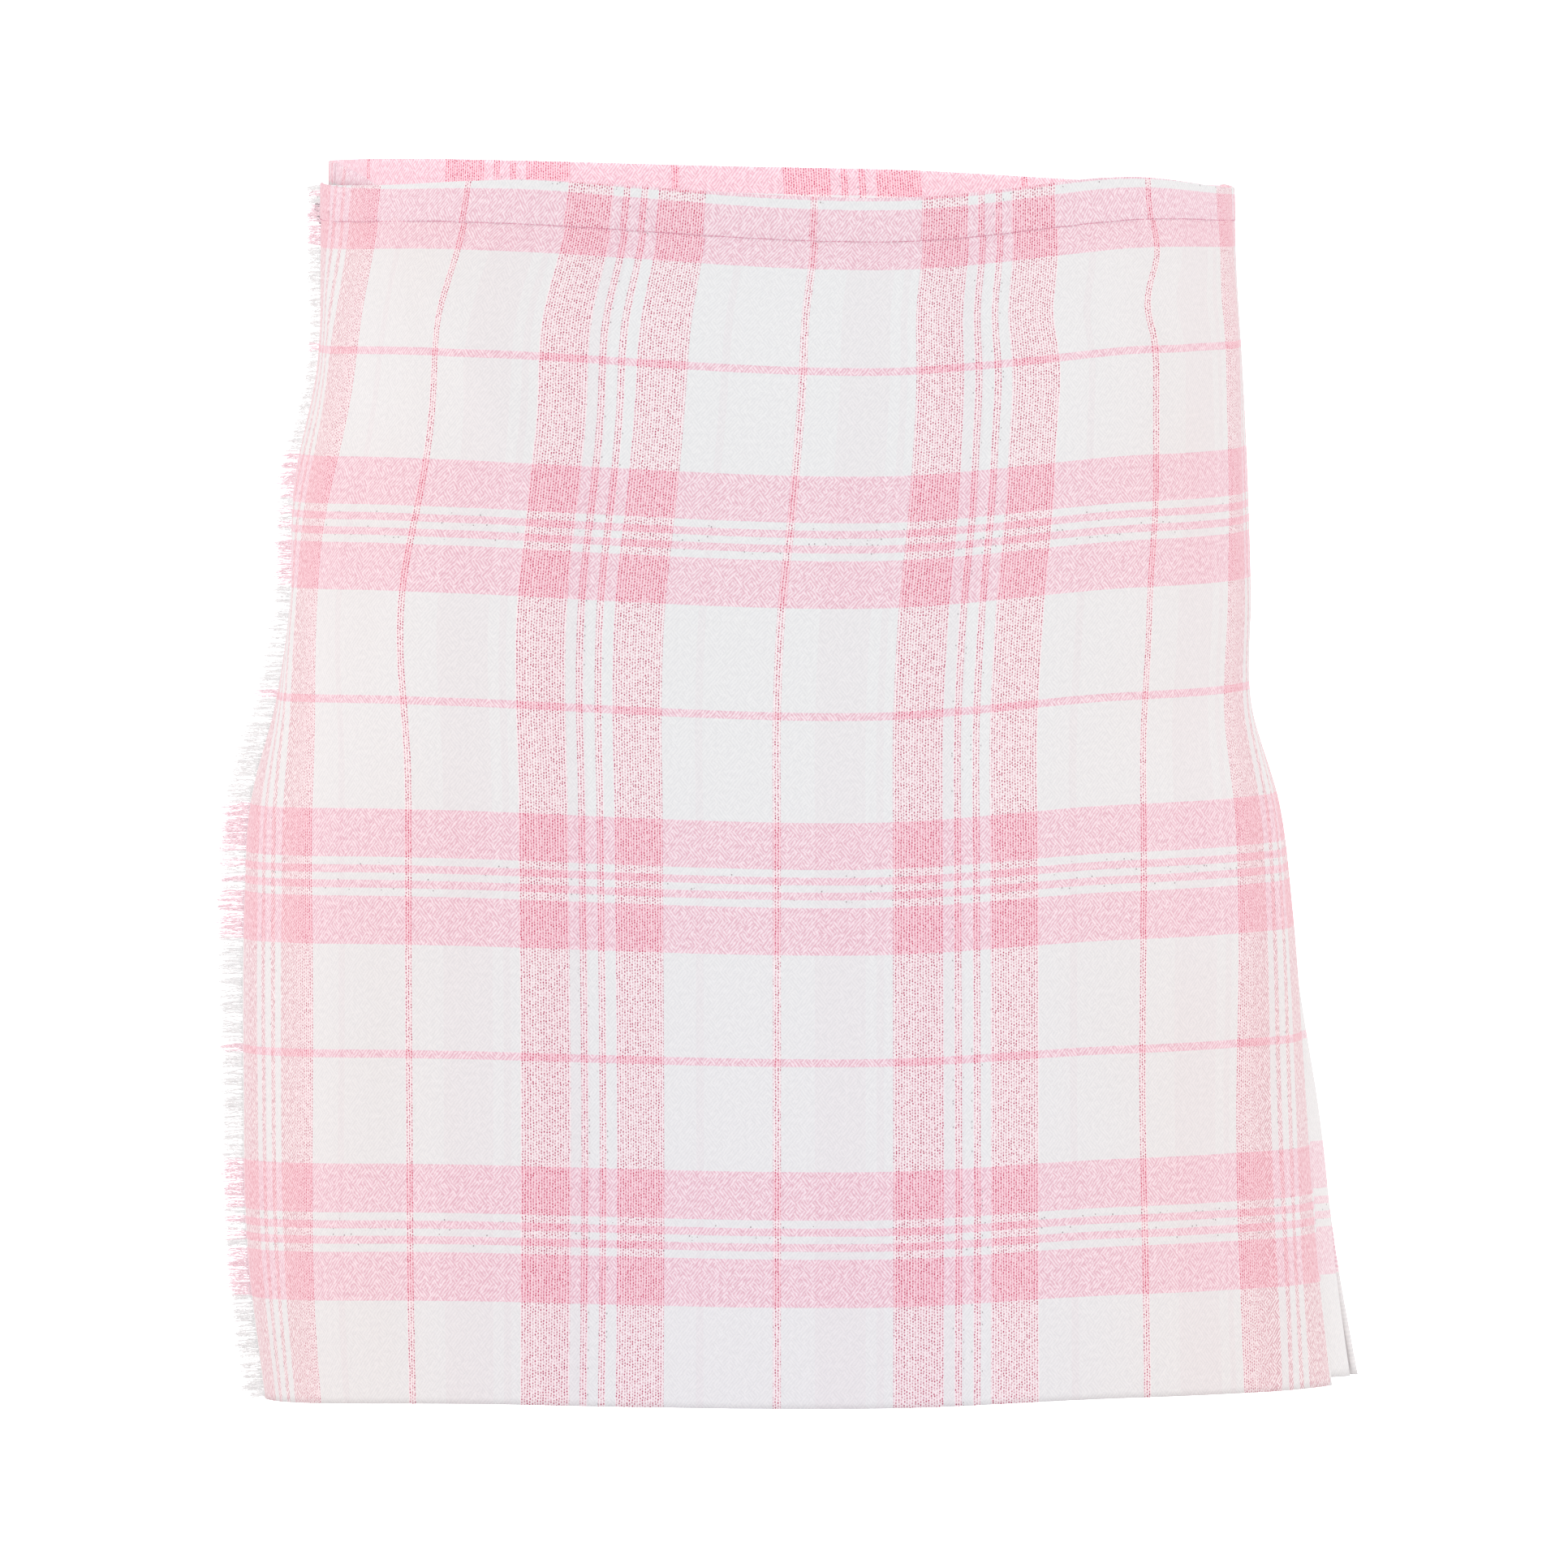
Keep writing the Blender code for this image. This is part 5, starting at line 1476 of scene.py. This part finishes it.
strap_pieces = {}
for name, z in STRAP_HEIGHTS.items():
    bar = float(fringe_root(z)) - HEEL_BEHIND_FRINGE
    turn = WIRE + CLEAR + TAB_LEATHER / 2
    loop = [(bar - turn * math.cos(a), HEEL_DEPTH - turn * math.sin(a))
            for a in np.linspace(-math.pi / 2, math.pi / 2, TAB_LOOP_POINTS)]
    tab_path = [(bar + TAB_SEWN_END, TAB_DEPTH), (bar + TAB_CLIMBS[0], TAB_DEPTH),
                (bar + TAB_CLIMBS[1], HEEL_DEPTH + turn), *loop, (bar + TAB_RETURN, HEEL_DEPTH - turn)]
    over = HEEL_DEPTH - WIRE - TAB_LEATHER - 2 * CLEAR - LEATHER / 2
    strap_path = [(bar - STRAP_SEWN_END, STRAP_DEPTH), (bar - BUCKLE_REACH, STRAP_DEPTH),
                  (bar - STRAP_LIFTS, STRAP_DEPTH - STRAP_LIFT), (bar + STRAP_OVER[0], over), (bar, over),
                  (bar + STRAP_OVER[1], over), (bar + STRAP_TIP, over)]
    tab = swept_leather(name + "_tab_leather", z, tab_path, TAB_LEATHER)
    strap = swept_leather(name + "_strap_leather", z, strap_path, LEATHER, round_tip=True)
    outline = []
    for quarter, (at_inner_bar, side) in enumerate(((True, 1), (False, 1), (False, -1), (True, -1))):
        centre_along = -BUCKLE_CORNER if at_inner_bar else BUCKLE_CORNER - BUCKLE_REACH
        centre_up = (BUCKLE_HALF_HEIGHT - BUCKLE_CORNER) * side
        for a in np.linspace(math.pi / 2 * quarter, math.pi / 2 * (quarter + 1), CORNER_POINTS):
            outline.append((centre_along + BUCKLE_CORNER * math.cos(a),
                            centre_up + BUCKLE_CORNER * math.sin(a)))
    outline = np.array(outline)
    bar_share = -outline[:, 0] / BUCKLE_REACH
    wire_depth = HEEL_DEPTH + (NOSE_DEPTH - HEEL_DEPTH) * bar_share
    line = form.points(bar + outline[:, 0], z + outline[:, 1], wire_depth)
    buckle = sweep_wire(name + "_buckle_frame", line, WIRE)
    t = np.linspace(0.0, 1.0, PRONG_POINTS)
    prong_along = bar - (BUCKLE_REACH + PRONG_PAST) * t
    prong_depth = (over - LEATHER / 2 - PRONG) * (1 - t) + (NOSE_DEPTH - WIRE - PRONG) * t
    prong_depth[0] = HEEL_DEPTH
    prong = sweep_wire(name + "_buckle_prong", form.points(prong_along, np.full_like(t, z), prong_depth),
                       PRONG * (1.0 - PRONG_TAPER * t), closed=False)
    strap_pieces[name] = (tab, strap, buckle, prong)

# %% [markdown]
# ## Leather and steel
#
# Leather is dark blue-black with a fine pebbled grain and paler, rubbed patches. The grain is a
# Voronoi pattern used in relief. The buckle is bright steel wire with faint scratches.
# %% Leather grain and steel groups
LEATHER_GRAIN = 1100.0          # grains in a metre
STEEL_GRAIN = 2600.0
CREASE_SCALE = 0.25             # creases to a grain
GRAIN_SHARE, CREASE_SHARE = 0.7, 0.6
WORN = (0.5, 0.72)              # noise values from unworn to worn
LEATHER_DARK, LEATHER_WORN = rgb(30, 32, 46), rgb(62, 62, 76)
STEEL_DARK, STEEL_BRIGHT = (0.62, 0.62, 0.64), (0.72, 0.72, 0.73)
LEATHER_RELIEF = 0.5
GRAIN_DEPTH = 0.1 * MM
LEATHER_ROUGHNESS, LEATHER_COAT = 0.42, 0.15
STEEL_ROUGHNESS = 0.2           # and up to as much again where it is scratched

grain, n, given, put = new_group("leather grain", {"Scale": LEATHER_GRAIN}, {"Height": FLOAT, "Wear": FLOAT})
position = n.add("TexCoord", output="Object")
cells = n.add("TexVoronoi", {"Vector": position, "Scale": given["Scale"]})
crease_scale = n.times(given["Scale"], CREASE_SCALE)
creases = n.add("TexNoise", {"Vector": position, "Scale": crease_scale, "Detail": 4.0})
n.link(put, Height=n.plus(n.times(cells, GRAIN_SHARE), n.times(creases, CREASE_SHARE)),
       Wear=n.remap(creases, *WORN))

n, leather, shader = new_material("strap leather")
grained = n.group(grain, {"Scale": LEATHER_GRAIN})
n.tree.links.new(n.mix(grained["Wear"], LEATHER_DARK, LEATHER_WORN), shader["Base Color"])
bump = n.add("Bump", {"Height": grained["Height"], "Strength": LEATHER_RELIEF, "Distance": GRAIN_DEPTH})
n.link(shader, Normal=bump)
shader["Roughness"].default_value = LEATHER_ROUGHNESS
shader["Coat Weight"].default_value = LEATHER_COAT

n, steel, shader = new_material("buckle steel")
scratched = n.group(grain, {"Scale": STEEL_GRAIN})["Wear"]
n.tree.links.new(n.mix(scratched, STEEL_DARK, STEEL_BRIGHT), shader["Base Color"])
n.link(shader, Roughness=n.math("MULTIPLY_ADD", scratched, STEEL_ROUGHNESS, STEEL_ROUGHNESS))
shader["Metallic"].default_value = 1.0
print("leather and steel made")

for tab, strap, buckle, prong in strap_pieces.values():
    for piece in (tab, strap):
        piece.data.materials.append(leather)
    for piece in (buckle, prong):
        piece.data.materials.append(steel)

# %% [markdown]
# ## Put every piece on the kilt
#
# The kilt has no joints, so every piece rides on its one body. A table lists the solid that each piece
# stands for, which is then hidden, and a finish slot, which nothing here reads.
# %% Ride and replace
STANDS_FOR = {name + "_cloth": (name, slot) for slot, names in (
    ("tartan_cloth", ("outer_apron", "pleated_back", "under_apron")),
    ("waistband_cloth", ("waistband_front", "waistband_back", "waistband_under"))) for name in names}
STANDS_FOR["fringe_threads"] = ("apron_fringe", "fringe_threads")
for name in ("waistband_front_stitches", "waistband_back_stitches"):
    STANDS_FOR[name] = (None, "waistband_cloth")
for name in STRAP_HEIGHTS:
    STANDS_FOR[name + "_tab_leather"] = (name + "_tab", "strap_leather")
    STANDS_FOR[name + "_strap_leather"] = (name + "_strap", "strap_leather")
    STANDS_FOR[name + "_buckle_frame"] = (name + "_buckle", "buckle_steel")
    STANDS_FOR[name + "_buckle_prong"] = (None, "buckle_steel")
for name, (node, slot) in STANDS_FOR.items():
    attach(pieces[name], "root")
    if node:
        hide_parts(node)
print("pieces", len(STANDS_FOR))
